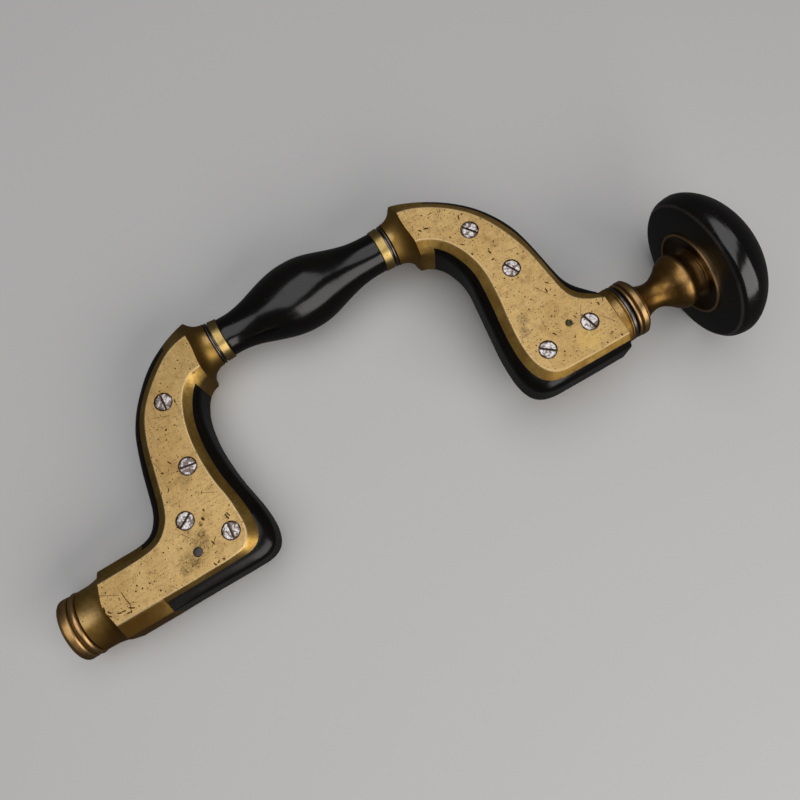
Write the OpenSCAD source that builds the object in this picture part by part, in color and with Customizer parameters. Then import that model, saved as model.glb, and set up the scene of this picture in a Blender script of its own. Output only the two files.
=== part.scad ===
// Framed carpenter's brace: two brass-cheeked arms with ebony infill, an ebony
// grip turning on a steel spindle, a mushroom head turning on its own spindle,
// and a square-socket chuck with a turning ring and a spring catch.
// +X runs along the turning axis from the chuck mouth (x = 0) to the head,
// +Y points from that axis to the grip, +Z is normal to the plane of the bow.
// Units are millimetres.

/* [Frame] */
// Half thickness of the two arms over the brass cheeks
half_t = 15.7; // [15.2:0.1:16.2]
// Thickness of one brass cheek
cheek_t = 3.5; // [3.2:0.1:3.6]
// Distance from the turning axis to the grip axis
throw = 84; // [83.6:0.1:84.4]
// Small radius of the turned cove at each end of the grip
cove_r = 10.5; // [10.2:0.1:10.8]

/* [Screws] */
// Diameter of the slotted screw heads
screw_head_d = 8.2; // [7.8:0.1:8.4]
// Depth of the screwdriver slots
slot_depth = 0.9; // [0.6:0.1:1.2]

/* [Chuck] */
// Outside radius of the chuck ring
ring_r = 14.4; // [14.2:0.1:14.8]
// Half width of the square socket at its mouth
socket_half = 6.6; // [6.4:0.1:6.7]
// Depth of the square socket
socket_depth = 40; // [36:1:41]

/* [Grip] */
// Largest radius of the ebony grip
grip_r = 17; // [16:0.1:18]
// Outside radius of the brass ferrules
ferrule_r = 10.2; // [10:0.1:10.4]

/* [Head] */
// Largest radius of the ebony head
head_r = 35.75; // [35:0.05:36.5]
// Radius of the neck at its waist
waist_r = 6.6; // [6.4:0.1:7]

/* [Hidden] */
fine = 96;
spindle_r = 4;          // grip spindle
head_spin_r = 3.6;      // head spindle
pin_r = 2;              // catch pivot pin
mouth_x = 4.8;          // the chuck's mouth, from the datum all stations below are set out from
catch_x = 70.4;         // catch pivot on the turning axis
fit_gap = 0.02;         // between pieces that are fixed together
run_gap = 0.05;         // between pieces that turn on each other
cove_len = 8.4;         // length and radius of the turned cove
low_end = 116.3;        // grip end of the lower arm
up_end = 210.7;         // grip end of the upper arm
head_end = 276.9;       // head end of the upper arm's cheeks

// Screw places on each cheek: x, y, slot angle
low_screws = [[86.4, 65.6, 87], [83, 34.8, -9], [71.5, 14.4, 31], [86.6, 0.9, 86]];
up_screws = [[242.8, 65.2, -53], [249.2, 39.8, -62], [242.8, -0.4, -38], [265.2, 1, -75]];

// Matching control points [face x, face y, side x, side y]: the edge of the
// flat cheek, and the widest line of the side below its chamfer.
low_inner = [
  [14, -9.6, 14, -15.7], [50, -9.6, 50, -15.7], [72, -9.4, 74, -15.8],
  [82, -9.1, 87, -15.8], [87, -8.2, 94.5, -15.4], [90.4, -5.9, 99.4, -12.6],
  [92.3, -2.4, 101.6, -7], [92.8, 2, 102, -1], [92.6, 6.5, 101.4, 5],
  [91.8, 14.5, 99.6, 14], [90.1, 22.5, 97.9, 22], [89.2, 31, 96.8, 30.5],
  [89, 39.5, 96.2, 39], [89.8, 48.5, 96.6, 47.6], [92, 57.5, 98.1, 55.6],
  [95.2, 64.4, 100.4, 61.2], [98.8, 68.8, 102.8, 65], [103, 71.4, 105.6, 67.3],
  [107.5, 72.1, 108.4, 68.2], [116.3, 72.3, 116.3, 68.4]];
low_outer = [
  [116.3, 88, 116.3, 97.6], [107.6, 87.9, 108.4, 97.2], [103, 87.1, 103, 95.6],
  [98.4, 85.4, 96.6, 92.9], [93.6, 82.4, 90.2, 89.2], [88, 77.8, 83.6, 83.8],
  [83, 73, 77.6, 77.6], [78, 67, 71.9, 70.2], [74.6, 60.6, 67.4, 61.8],
  [71.8, 52, 64.4, 52.2], [69.7, 41.5, 62.1, 42.6], [68, 32.6, 60.3, 33.2],
  [66.3, 24.6, 58.6, 26], [64, 18.6, 56.2, 21.2], [61, 14.8, 53.4, 18.3],
  [57.4, 12, 50, 16.8], [52, 10.5, 46, 16.1], [45, 9.9, 40, 15.9],
  [30, 9.6, 30, 15.7], [14, 9.6, 14, 15.7]];
up_inner = [
  [210.7, 73.4, 210.7, 68.4], [219.6, 73.3, 218.8, 68.4], [225.2, 70.8, 222.8, 66.9],
  [229, 67.9, 225.8, 64.4], [232.3, 64, 228.2, 61], [235, 59, 230, 56.4],
  [237.2, 52.4, 231.2, 51.4], [238.3, 45, 231.5, 45.4], [238, 37.5, 230.7, 38.4],
  [237, 29, 229.6, 30], [235.5, 20, 228.4, 20.5], [234.4, 11.5, 227.3, 11.5],
  [234.2, 4, 226.9, 2.5], [234.9, -2, 227.4, -5.4], [236.7, -6.8, 229.4, -11.4],
  [239.4, -9.9, 233, -15], [243, -11.3, 238.4, -16.5], [250, -11.8, 248, -16.7],
  [263, -12, 263, -16.8], [276.9, -12, 276.9, -16.8]];
up_outer = [
  [276.9, 7.2, 276.9, 13.2], [275.6, 7.8, 276.1, 14], [274, 8.6, 275.2, 15], [270.2, 10.3, 273.2, 17.4],
  [266.8, 12.7, 271.2, 20], [264.4, 15.7, 269.4, 23], [263, 19.8, 268, 26.4],
  [262, 27, 267, 31.4], [261.1, 35, 266.1, 37.8], [260, 42.5, 265.2, 44.4],
  [258.3, 49.6, 264.1, 51.4], [256.2, 55.8, 262.5, 58], [253.3, 62.6, 259.6, 65],
  [249.4, 69.3, 255.2, 72.4], [244.8, 75, 249.8, 78.8], [239.5, 79.8, 243.6, 84.6],
  [233.5, 84.1, 236.8, 89.7], [227, 87.6, 229, 94.2], [219.6, 89.8, 219.4, 98],
  [210.7, 90, 210.7, 98.4]];

// Smooth curve through control points of any dimension, n steps each
function cr(a, b, c, d, t) =
  0.5 * (2 * b + (c - a) * t + (2 * a - 5 * b + 4 * c - d) * t * t
         + (3 * b - a - 3 * c + d) * t * t * t);
function smooth(p, n) = concat(
  [for (i = [0:len(p) - 2]) for (k = [0:n - 1])
    cr(p[max(i - 1, 0)], p[i], p[i + 1], p[min(i + 2, len(p) - 1)], k / n)],
  [p[len(p) - 1]]);

// Brings a part set out from the datum to the frame with the mouth at x = 0
module at_mouth() { translate([-mouth_x, 0, 0]) children(); }

// Heights of the outline rings, and how far each is out from face to side
ring_z = [-half_t, 0.1 + cheek_t - half_t, 6.1 - half_t,
          half_t - 6.1, half_t - cheek_t - 0.1, half_t];
ring_f = [0, 0.54, 1, 1, 0.54, 0];

// Solid arm from matched face and side outlines; a runs one way along the arm
// and b comes back, with as many points
module arm_body(a, b) {
  o = concat(smooth(a, 3), smooth(b, 3));
  n = len(o);
  polyhedron(
    points = [for (k = [0:5]) for (p = o)
      [p[0] + (p[2] - p[0]) * ring_f[k], p[1] + (p[3] - p[1]) * ring_f[k], ring_z[k]]],
    faces = concat(
      [for (i = [0:n / 2 - 2]) [i, i + 1, n - 2 - i]],
      [for (i = [0:n / 2 - 2]) [i, n - 2 - i, n - 1 - i]],
      [for (i = [0:n / 2 - 2]) [5 * n + i, 6 * n - 1 - i, 6 * n - 2 - i]],
      [for (i = [0:n / 2 - 2]) [5 * n + i, 6 * n - 2 - i, 5 * n + i + 1]],
      [for (k = [0:4]) for (i = [0:n - 1]) [k * n + i, (k + 1) * n + i, (k + 1) * n + (i + 1) % n]],
      [for (k = [0:4]) for (i = [0:n - 1]) [k * n + i, (k + 1) * n + (i + 1) % n, k * n + (i + 1) % n]]));
}

// Cylinder along +X
module xcyl(x0, x1, r, y = 0) {
  translate([x0, y, 0]) rotate([0, 90, 0]) cylinder(r = r, h = x1 - x0, $fn = fine);
}
// Turned solid about the line y = const; profile points are [radius, x]
module xturn(p, y = 0) {
  translate([0, y, 0]) rotate([0, 90, 0]) rotate_extrude($fn = fine) polygon(p);
}

// What the lathe takes off to leave the cove; s is 0 at the small end
module cove_cut(x_small, dir) {
  xturn(concat(
    [for (a = [0:10:90]) [cove_r + cove_len * (1 - cos(a)), x_small - dir * cove_len * sin(a)]],
    [[45, x_small - dir * cove_len], [45, x_small + dir * 2], [cove_r, x_small + dir * 2]]), throw);
}

// Plan of the ebony inside each arm; g shrinks it for the wood
module low_room(g) {
  polygon([[49 + g, -30], [130, -30], [106.9 - g, 49], [94 - g, 98], [30, 98], [30, 30], [49 + g, 30]]);
}
module up_room(g) {
  xe = g > 0 ? head_end - g : head_end + 20;
  difference() {
    polygon([[220 + g, 50], [200, -40], [xe, -40], [xe, 104], [236.6 + g, 104]]);
    translate([262 - g, -8.5 - g]) square([40, 17 + 2 * g]);
  }
}

// Wood screw hole or screw body, head at z = half_t
module screw_shape(r_head, r_shank, len) {
  translate([0, 0, half_t - 0.9]) cylinder(r = r_head, h = 1, $fn = fine);
  translate([0, 0, half_t - 3.2]) cylinder(r1 = r_shank, r2 = r_head, h = 2.3001, $fn = fine);
  translate([0, 0, half_t - len]) cylinder(r = r_shank, h = len - 3.1, $fn = fine);
}
module screw_holes(places) {
  for (s = places) for (m = [0, 1]) mirror([0, 0, m]) translate([s[0], s[1], 0])
    screw_shape(screw_head_d / 2 + fit_gap, 2 + fit_gap, 12.2);
}
module screws(places, side) {
  mirror([0, 0, side]) for (s = places) translate([s[0], s[1], 0]) rotate([0, 0, s[2]]) difference() {
    rotate_extrude($fn = fine) polygon([[0, half_t - 12], [2, half_t - 12], [2, half_t - 3.2],
      [screw_head_d / 2, half_t - 0.9], [screw_head_d / 2, half_t], [0, half_t]]);
    translate([-8, -0.5, half_t - slot_depth]) cube([16, 1, 4]);
  }
}

// Square tapered socket
module socket_cut() {
  a = socket_half;
  b = socket_half - socket_depth * 0.04;
  x0 = mouth_x - 1;
  x1 = mouth_x + socket_depth;
  polyhedron(
    points = [[x0, -a, -a], [x0, a, -a], [x0, a, a], [x0, -a, a],
              [x1, -b, -b], [x1, b, -b], [x1, b, b], [x1, -b, b]],
    faces = [[0, 1, 2, 3], [7, 6, 5, 4], [4, 5, 1, 0], [5, 6, 2, 1], [6, 7, 3, 2], [7, 4, 0, 3]]);
}
// Slot in the block and the wood that the catch lies in
module catch_room() {
  translate([0, 0, -2.4]) linear_extrude(4.8)
    polygon([[9.6, 8], [9.6, 16.5], [13.6, 16.5], [13.6, 13.2], [27.5, 13.2], [27.5, 14.2], [54, 14.2],
             [64, 11], [75.4, 5], [75.4, -5], [66, -5], [57, 4.2], [51, 8]]);
  translate([18.6, 3, -2.4]) cube([7.4, 6, 4.8]);
}

// --- lower arm -----------------------------------------------------------
// Brass casting: chuck block, two cheeks and the grip collar in one piece
module lower_frame() color([0.72, 0.55, 0.28]) at_mouth() difference() {
  union() {
    difference() {
      arm_body(low_inner, low_outer);
      cove_cut(low_end, 1);
      xturn([[14.1, 12], [14.1, 17], [14.3, 20], [14.7, 22.4], [15.2, 24.2], [15.9, 25.5],
             [16.8, 26.4], [18, 27.2], [20, 27.9], [26, 28.2], [26, 12]]);
      translate([0, 0, cheek_t - half_t]) linear_extrude(2 * (half_t - cheek_t)) low_room(0);
    }
    xcyl(mouth_x, 15, 11.5);
  }
  socket_cut();
  catch_room();
  xcyl(100, 120, spindle_r + fit_gap, throw);
  screw_holes(low_screws);
  translate([catch_x, 0, -20]) cylinder(r = pin_r + fit_gap, h = 40, $fn = fine);
  translate([7.3, 0, -13]) cylinder(r = 1 + fit_gap, h = 5.02, $fn = fine);
}
// Ebony infill between the lower cheeks
module lower_infill() color([0.07, 0.06, 0.06]) at_mouth() difference() {
  intersection() {
    arm_body(low_inner, low_outer);
    translate([0, 0, cheek_t - half_t + fit_gap]) linear_extrude(2 * (half_t - cheek_t - fit_gap)) low_room(0.05);
  }
  catch_room();
  screw_holes(low_screws);
  translate([catch_x, 0, -20]) cylinder(r = pin_r + fit_gap, h = 40, $fn = fine);
}
module lower_screws_front() color([0.55, 0.55, 0.56]) at_mouth() screws(low_screws, 0);
module lower_screws_back() color([0.55, 0.55, 0.56]) at_mouth() screws(low_screws, 1);

// --- chuck ---------------------------------------------------------------
// Ring with a half-round bead, turning on the block's round nose; a recess
// behind clears the catch's tip and a short slot takes the stop pin
module chuck_ring() color([0.74, 0.57, 0.3]) at_mouth() difference() {
  xturn([[11.5 + run_gap, 4.8], [ring_r - 1.4, 4.8], [ring_r - 0.65, 5.05], [ring_r - 0.2, 5.55], [ring_r, 6.4],
         [ring_r - 0.1, 8.9], [ring_r - 0.4, 9.5], [ring_r - 0.95, 9.8], [ring_r - 0.95, 10.3],
         [ring_r - 0.4, 10.6], [ring_r + 0.1, 11.3], [ring_r + 0.2, 12], [ring_r + 0.1, 12.7],
         [ring_r - 0.5, 13.3], [11.5 + run_gap, 13.3]]);
  xturn([[11, 9.8], [12.9, 9.8], [12.9, 14], [11, 14]]);
  intersection() {
    xturn([[11, 6], [13, 6], [13, 8.6], [11, 8.6]]);
    translate([5.5, 0, 0]) rotate([0, 90, 0]) linear_extrude(3.6)
      polygon([[0, 0], [30 * cos(46), -30 * sin(46)], [40 * cos(23), -40 * sin(23)], [40, 0], [30 * cos(6), 30 * sin(6)]]);
  }
}
// Steel peg in the nose that stops and keeps the ring
module ring_stop_pin() color([0.45, 0.45, 0.47]) at_mouth()
  translate([7.3, 0, -12.6]) cylinder(r = 1, h = 4.5, $fn = fine);
// Steel catch lever: eye, long arm, nib for the notch in the bit's tang
module catch_lever() color([0.45, 0.45, 0.47]) at_mouth() difference() {
  union() {
    translate([catch_x, 0, -2]) cylinder(r = 3.8, h = 4, $fn = fine);
    translate([0, 0, -2]) linear_extrude(4)
      polygon([[10.4, 9], [10.4, 10.5], [14, 11], [52, 11], [60, 8.6], [71.5, 3.6], [68.2, -3.1], [58.6, 5.6], [51, 8.6],
               [24.6, 8.6], [24.6, 5.2], [23.4, 4.9], [20.2, 4.9], [19.8, 8.6]]);
  }
  translate([catch_x, 0, -5]) cylinder(r = pin_r + run_gap, h = 10, $fn = fine);
}
// Leaf spring riding on the lever's back
module catch_spring() color([0.35, 0.38, 0.45]) at_mouth()
  translate([0, 0, -1.6]) linear_extrude(3.2)
    polygon([[52, 11.02], [46, 11.02], [30, 12.3], [30, 12.8], [46, 11.52], [52, 11.52]]);
// Steel pin through both cheeks that the catch turns on, filed flush
module catch_pin() color([0.32, 0.3, 0.28]) at_mouth()
  translate([catch_x, 0, -half_t]) cylinder(r = pin_r, h = 2 * half_t, $fn = fine);

// --- upper arm -----------------------------------------------------------
// Brass casting: grip collar, two cheeks, head boss and collar
module upper_frame() color([0.72, 0.55, 0.28]) at_mouth() difference() {
  union() {
    difference() {
      arm_body(up_inner, up_outer);
      cove_cut(up_end, -1);
      translate([0, 0, cheek_t - half_t]) linear_extrude(2 * (half_t - cheek_t)) up_room(0);
    }
    xturn([[0, 270], [8, 270], [8, head_end], [12.7, head_end], [12.7, 277.3], [13.3, 277.7], [13.4, 278.2],
           [13.4, 281.6], [13, 281.8], [13, 282], [13.5, 282.2], [13.5, 282.8], [13.2, 283], [0, 283]]);
  }
  xcyl(208, 227.5, spindle_r + fit_gap, throw);
  xcyl(263.5, 290, head_spin_r + fit_gap);
  screw_holes(up_screws);
}
// Ebony infill between the upper cheeks
module upper_infill() color([0.07, 0.06, 0.06]) at_mouth() difference() {
  intersection() {
    arm_body(up_inner, up_outer);
    translate([0, 0, cheek_t - half_t + fit_gap]) linear_extrude(2 * (half_t - cheek_t - fit_gap)) up_room(0.05);
  }
  screw_holes(up_screws);
}
module upper_screws_front() color([0.55, 0.55, 0.56]) at_mouth() screws(up_screws, 0);
module upper_screws_back() color([0.55, 0.55, 0.56]) at_mouth() screws(up_screws, 1);

// --- grip ----------------------------------------------------------------
// Steel spindle joining the two arms through the grip
module grip_spindle() color([0.5, 0.5, 0.52]) at_mouth() xcyl(100.4, 227.1, spindle_r, throw);
// Turned ebony grip, with a stub at each end for its ferrule
module grip() color([0.05, 0.05, 0.05]) at_mouth() difference() {
  k = grip_r / 17;
  xturn(concat(
    [[0, 118.5], [8.4, 118.5], [8.4, 122.65]],
    smooth([[9.3, 122.65], [9.35, 128], [10.1, 133], [11.4 * k, 138], [13.1 * k, 143], [14.7 * k, 148],
            [16 * k, 153], [16.8 * k, 158], [17 * k, 163], [16.7 * k, 168], [15.7 * k, 173], [14.2 * k, 178],
            [12.6 * k, 183], [11.2, 188], [10.2, 193], [9.7, 198], [9.55, 203.85]], 2),
    [[8.4, 203.85], [8.4, 208.2], [0, 208.2]]), throw);
  xcyl(110, 215, spindle_r + run_gap, throw);
}
module ferrule(x0, x1, a, b) xturn([[8.4 + fit_gap, x0], [a - 0.3, x0], [a, x0 + 0.3], [b, x1 - 0.3], [b - 0.3, x1], [8.4 + fit_gap, x1]], throw);
module grip_ferrule_lower() color([0.78, 0.62, 0.34]) at_mouth() ferrule(118.3, 122.6, ferrule_r, ferrule_r - 0.3);
module grip_ferrule_upper() color([0.78, 0.62, 0.34]) at_mouth() ferrule(203.9, 208.4, ferrule_r - 0.2, ferrule_r);
// Spool washers: a thin polished flange with a smaller hub on both sides
module spool(x0, x1, m) xturn([[spindle_r + fit_gap, x0], [8, x0], [8, m - 0.4], [10.2, m - 0.4], [10.35, m - 0.2],
  [10.35, m + 0.2], [10.2, m + 0.4], [8, m + 0.4], [8, x1], [spindle_r + fit_gap, x1]], throw);
module grip_washer_lower() color([0.62, 0.62, 0.64]) at_mouth() spool(low_end + fit_gap, 118.1, 117.2);
module grip_washer_upper() color([0.62, 0.62, 0.64]) at_mouth() spool(208.6, up_end - fit_gap, 209.7);

// --- head ----------------------------------------------------------------
// Steel ring between the frame's collar and the turning neck
module head_washer() color([0.55, 0.58, 0.64]) at_mouth()
  xturn([[head_spin_r + fit_gap, 283.02], [13.1, 283.02], [13.35, 283.3], [13.35, 284.6], [13.1, 284.9], [head_spin_r + fit_gap, 284.9]]);
// Steel spindle that the head turns on
module head_spindle() color([0.5, 0.5, 0.52]) at_mouth() xcyl(264, 335.8, head_spin_r);
// Brass neck: bead, flange, waist, bell and a hollow stub inside the knob
module head_neck() color([0.74, 0.57, 0.3]) at_mouth()
  xturn(concat(
    [[head_spin_r + run_gap, 285.6], [12.7, 285.6], [13.25, 285.95], [13.4, 286.5], [13.25, 287.05], [12.7, 287.4],
     [12.7, 287.7], [13.3, 288], [13.5, 288.4], [13.5, 290.4], [13.2, 290.9], [12.4, 291.1], [12.3, 291.7], [11.6, 292.2]],
    smooth([[10.4, 292.5], [8.4, 294.4], [7.2, 297], [waist_r, 300.2], [waist_r + 0.4, 303], [8.2, 305.6], [9.8, 308],
            [11.6, 310.2], [12.8, 312.2], [13.35, 313.8], [13.3, 315.2], [12.8, 316.6], [12.4, 317.8]], 2),
    [[11.9, 318.3], [10.9, 318.6], [10, 319], [9.9, 320.4], [10.2, 322.9], [9, 322.9],
     [9, 338], [6.3, 338], [6.3, 329.5], [head_spin_r + run_gap, 329.5]]));
// Nut that keeps the neck on its spindle
module head_nut() color([0.45, 0.45, 0.47]) at_mouth() difference() {
  translate([329.9, 0, 0]) rotate([0, 90, 0]) cylinder(r = 5.7, h = 4, $fn = 6);
  xcyl(320, 345, head_spin_r + fit_gap);
}
// Dished brass plate let into the underside of the knob
module head_plate() color([0.74, 0.57, 0.3]) at_mouth()
  xturn([[9 + fit_gap, 323], [12.9, 323], [15.6, 322.7], [17.8, 322.1], [18.9, 321.5], [19.4, 321.2],
         [19.9, 321.2], [20.2, 321.5], [20.2, 324.6], [9 + fit_gap, 324.6]]);
// Turned ebony knob
module head_knob() color([0.05, 0.05, 0.05]) at_mouth() difference() {
  k = head_r / 35.75;
  xturn(concat(
    [[0, 322.3], [24, 322.3], [29, 322.5], [32.3, 322.9], [33.3 * k, 323.3]],
    smooth([[33.5 * k, 323.5], [34.9 * k, 325.2], [35.65 * k, 328], [35.75 * k, 330.6], [34.97 * k, 333.1], [33.2 * k, 336.1],
            [30.3 * k, 339.5], [26.2 * k, 342.8], [20.8 * k, 345.9], [14 * k, 348.5], [6.8 * k, 350.1], [0, 350.4]], 2)));
  xcyl(320, 324.65, 20.25);
  xcyl(324, 339.5, 9 + fit_gap);
}

lower_frame();
lower_infill();
lower_screws_front();
lower_screws_back();
chuck_ring();
ring_stop_pin();
catch_lever();
catch_spring();
catch_pin();
upper_frame();
upper_infill();
upper_screws_front();
upper_screws_back();
grip_spindle();
grip();
grip_ferrule_lower();
grip_ferrule_upper();
grip_washer_lower();
grip_washer_upper();
head_washer();
head_spindle();
head_neck();
head_nut();
head_plate();
head_knob();
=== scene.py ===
import math

import bmesh
import bpy
import numpy as np
from mathutils import Matrix, Vector


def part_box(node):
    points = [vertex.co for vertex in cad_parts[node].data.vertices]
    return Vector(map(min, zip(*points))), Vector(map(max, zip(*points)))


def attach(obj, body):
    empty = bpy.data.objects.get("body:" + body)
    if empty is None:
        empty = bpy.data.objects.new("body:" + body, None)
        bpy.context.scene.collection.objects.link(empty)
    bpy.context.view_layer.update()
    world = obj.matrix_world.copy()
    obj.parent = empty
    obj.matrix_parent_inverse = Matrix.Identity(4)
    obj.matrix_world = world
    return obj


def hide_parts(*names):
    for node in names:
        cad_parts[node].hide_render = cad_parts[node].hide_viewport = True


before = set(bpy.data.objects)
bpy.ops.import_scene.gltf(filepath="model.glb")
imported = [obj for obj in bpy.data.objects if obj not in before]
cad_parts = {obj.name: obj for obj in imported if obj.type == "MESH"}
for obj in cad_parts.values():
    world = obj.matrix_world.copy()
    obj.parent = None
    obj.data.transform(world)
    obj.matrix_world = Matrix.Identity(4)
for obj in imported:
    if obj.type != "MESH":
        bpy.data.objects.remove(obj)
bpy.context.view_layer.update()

MM = 0.001
H = 15.7          # half thickness over the cheeks
CHEEK = 3.5       # cheek thickness
THROW = 84.0
MOUTH = 4.8       # stations below are set out from a datum this far in front of the mouth
DEG = math.pi / 180


def sub(lo, hi, axis):
    return lo[axis], hi[axis]


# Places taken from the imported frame, in millimetres
def span(node, axis):
    lo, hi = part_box(node)
    return lo[axis] / MM, hi[axis] / MM


# ------------------------------------------------------------------ meshes
def new_object(name, verts, faces, smooth=True, angle=32.0, attrs=None):
    """Mesh from millimetre points; edges sharper than angle are marked sharp."""
    me = bpy.data.meshes.new(name)
    me.from_pydata([tuple(v) for v in np.asarray(verts, float) * MM], [], [list(f) for f in faces])
    if attrs:
        for key, val in attrs.items():
            a = me.attributes.new(key, "FLOAT", "POINT")
            a.data.foreach_set("value", np.asarray(val, np.float32))
    bm = bmesh.new()
    bm.from_mesh(me)
    bmesh.ops.recalc_face_normals(bm, faces=bm.faces)
    bm.to_mesh(me)
    bm.free()
    ob = bpy.data.objects.new(name, me)
    bpy.context.scene.collection.objects.link(ob)
    if smooth:
        crease(ob, angle)
    return ob


def crease(ob, angle=32.0):
    bm = bmesh.new()
    bm.from_mesh(ob.data)
    lim = angle * DEG
    for f in bm.faces:
        f.smooth = True
    for e in bm.edges:
        e.smooth = not (len(e.link_faces) == 2 and e.calc_face_angle(0.0) > lim)
    bm.to_mesh(ob.data)
    bm.free()


def fillet(points, rad=0.25, n=3):
    """Polyline [(r, x)] or [(r, x, own_radius)] with its inner corners rounded."""
    p = [np.array(q[:2], float) for q in points]
    rr = [(q[2] if len(q) > 2 else rad) for q in points]
    out = [p[0]]
    for i in range(1, len(p) - 1):
        a, b, c = p[i - 1], p[i], p[i + 1]
        u, v = a - b, c - b
        lu, lv = np.linalg.norm(u), np.linalg.norm(v)
        if lu < 1e-6 or lv < 1e-6:
            continue
        u, v = u / lu, v / lv
        turn = math.acos(max(-1, min(1, float(-u @ v))))
        t = min(rr[i] * math.tan(turn / 2), 0.45 * lu, 0.45 * lv) if turn > 1e-3 else 0
        if t < 0.01 or turn < 8 * DEG:
            out.append(b)
            continue
        for k in range(n + 1):
            s = k / n
            out.append((1 - s) ** 2 * (b + u * t) + 2 * s * (1 - s) * b + s * s * (b + v * t))
    out.append(p[-1])
    return out


def hermite(P, n):
    """Smooth curve through points of any dimension, chord-length spaced tangents."""
    P = np.asarray(P, float)
    h = np.linalg.norm(np.diff(P[:, :2], axis=0), axis=1) + 1e-9
    if P.shape[1] >= 4:
        h = 0.5 * (h + np.linalg.norm(np.diff(P[:, 2:4], axis=0), axis=1))
    d = np.diff(P, axis=0) / h[:, None]
    m = np.empty_like(P)
    m[0], m[-1] = d[0], d[-1]
    for i in range(1, len(P) - 1):
        m[i] = (d[i - 1] * h[i] + d[i] * h[i - 1]) / (h[i] + h[i - 1])
    out = []
    for i in range(len(P) - 1):
        for k in range(n):
            t = k / n
            out.append((2 * t ** 3 - 3 * t ** 2 + 1) * P[i] + (t ** 3 - 2 * t ** 2 + t) * h[i] * m[i]
                       + (-2 * t ** 3 + 3 * t ** 2) * P[i + 1] + (t ** 3 - t ** 2) * h[i] * m[i + 1])
    out.append(P[-1])
    return np.array(out)


def relax(C, sigma):
    """Takes small waves out of a sampled curve; the two ends stay put."""
    d = np.linalg.norm(np.diff(C[:, :2], axis=0), axis=1)
    s = np.concatenate([[0], np.cumsum(d)])
    w = np.empty(len(C))
    w[1:-1] = 0.5 * (d[1:] + d[:-1])
    w[0], w[-1] = 0.5 * d[0], 0.5 * d[-1]
    out = C.copy()
    for i in range(len(C)):
        near = min(s[i], s[-1] - s[i])
        sg = min(sigma, near / 2.5)
        if sg < 0.05:
            continue
        k = np.exp(-0.5 * ((s - s[i]) / sg) ** 2) * w
        k /= k.sum()
        out[i] = k @ C
    return out


def lathe(name, profile, y=0.0, seg=168, closed_axis=False, wear_r=0.35):
    """Turned piece about the line y = const along X. profile is [(r, x)], a closed loop, or
    one that starts and ends on the axis."""
    prof = np.array([q[:2] for q in profile], float)
    keep = [0]
    for i in range(1, len(prof)):
        if np.linalg.norm(prof[i] - prof[keep[-1]]) > 1e-4:
            keep.append(i)
    prof = prof[keep]
    loop = not closed_axis
    if loop and np.linalg.norm(prof[0] - prof[-1]) < 1e-4:
        prof = prof[:-1]
    n = len(prof)
    # convexity along the profile, for wear on ridges, and for dirt and painted shade in hollows
    wear, dirt_and_shade = profile_marks(prof, loop)
    verts, faces, aw, ad, ax = [], [], [], [], []
    idx = []
    for i, (r, x) in enumerate(prof):
        if r < 1e-4:
            idx.append([len(verts)])
            verts.append((x, y, 0))
            aw.append(wear[i]); ad.append(dirt_and_shade[i])
            continue
        row = []
        for k in range(seg):
            a = 2 * math.pi * k / seg
            row.append(len(verts))
            verts.append((x, y + r * math.cos(a), r * math.sin(a)))
            aw.append(wear[i]); ad.append(dirt_and_shade[i])
        idx.append(row)
    pairs = [(i, i + 1) for i in range(n - 1)] + ([(n - 1, 0)] if loop else [])
    for i, j in pairs:
        A, B = idx[i], idx[j]
        if len(A) == 1 and len(B) == 1:
            continue
        for k in range(seg):
            k2 = (k + 1) % seg
            if len(A) == 1:
                faces.append((A[0], B[k], B[k2]))
            elif len(B) == 1:
                faces.append((A[k], B[0], A[k2]))
            else:
                faces.append((A[k], B[k], B[k2], A[k2]))
    return new_object(name, verts, faces, attrs={"wear": aw, "dirt_and_shade": ad}, angle=38)


def profile_marks(prof, loop):
    n = len(prof)
    turn = np.zeros(n)
    seglen = np.zeros(n)
    area = 0.0
    for i in range(n):
        j = (i + 1) % n
        area += prof[i][1] * prof[j][0] - prof[j][1] * prof[i][0]
    sgn = 1.0 if area > 0 else -1.0
    for i in range(n):
        if not loop and i in (0, n - 1):
            continue
        a, b, c = prof[i - 1], prof[i], prof[(i + 1) % n]
        u, v = b - a, c - b
        cr = u[1] * v[0] - u[0] * v[1]
        turn[i] = sgn * math.atan2(cr, float(u @ v))
    wear, dirt_and_shade = np.zeros(n), np.zeros(n)
    for i in range(n):
        dist = np.linalg.norm(prof - prof[i], axis=1)
        k = np.exp(-(dist / 0.45) ** 2)
        t = float((k * turn).sum())
        wear[i] = min(1.0, max(0.0, t) / 1.0)
        k2 = np.exp(-(dist / 0.6) ** 2)
        dirt_and_shade[i] = min(1.0, max(0.0, -float((k2 * turn).sum())) / 0.9)
    return wear, dirt_and_shade


def bezier(a, b, c, n):
    return [(1 - t) ** 2 * np.array(a) + 2 * t * (1 - t) * np.array(b) + t * t * np.array(c)
            for t in [k / n for k in range(n + 1)]]


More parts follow.
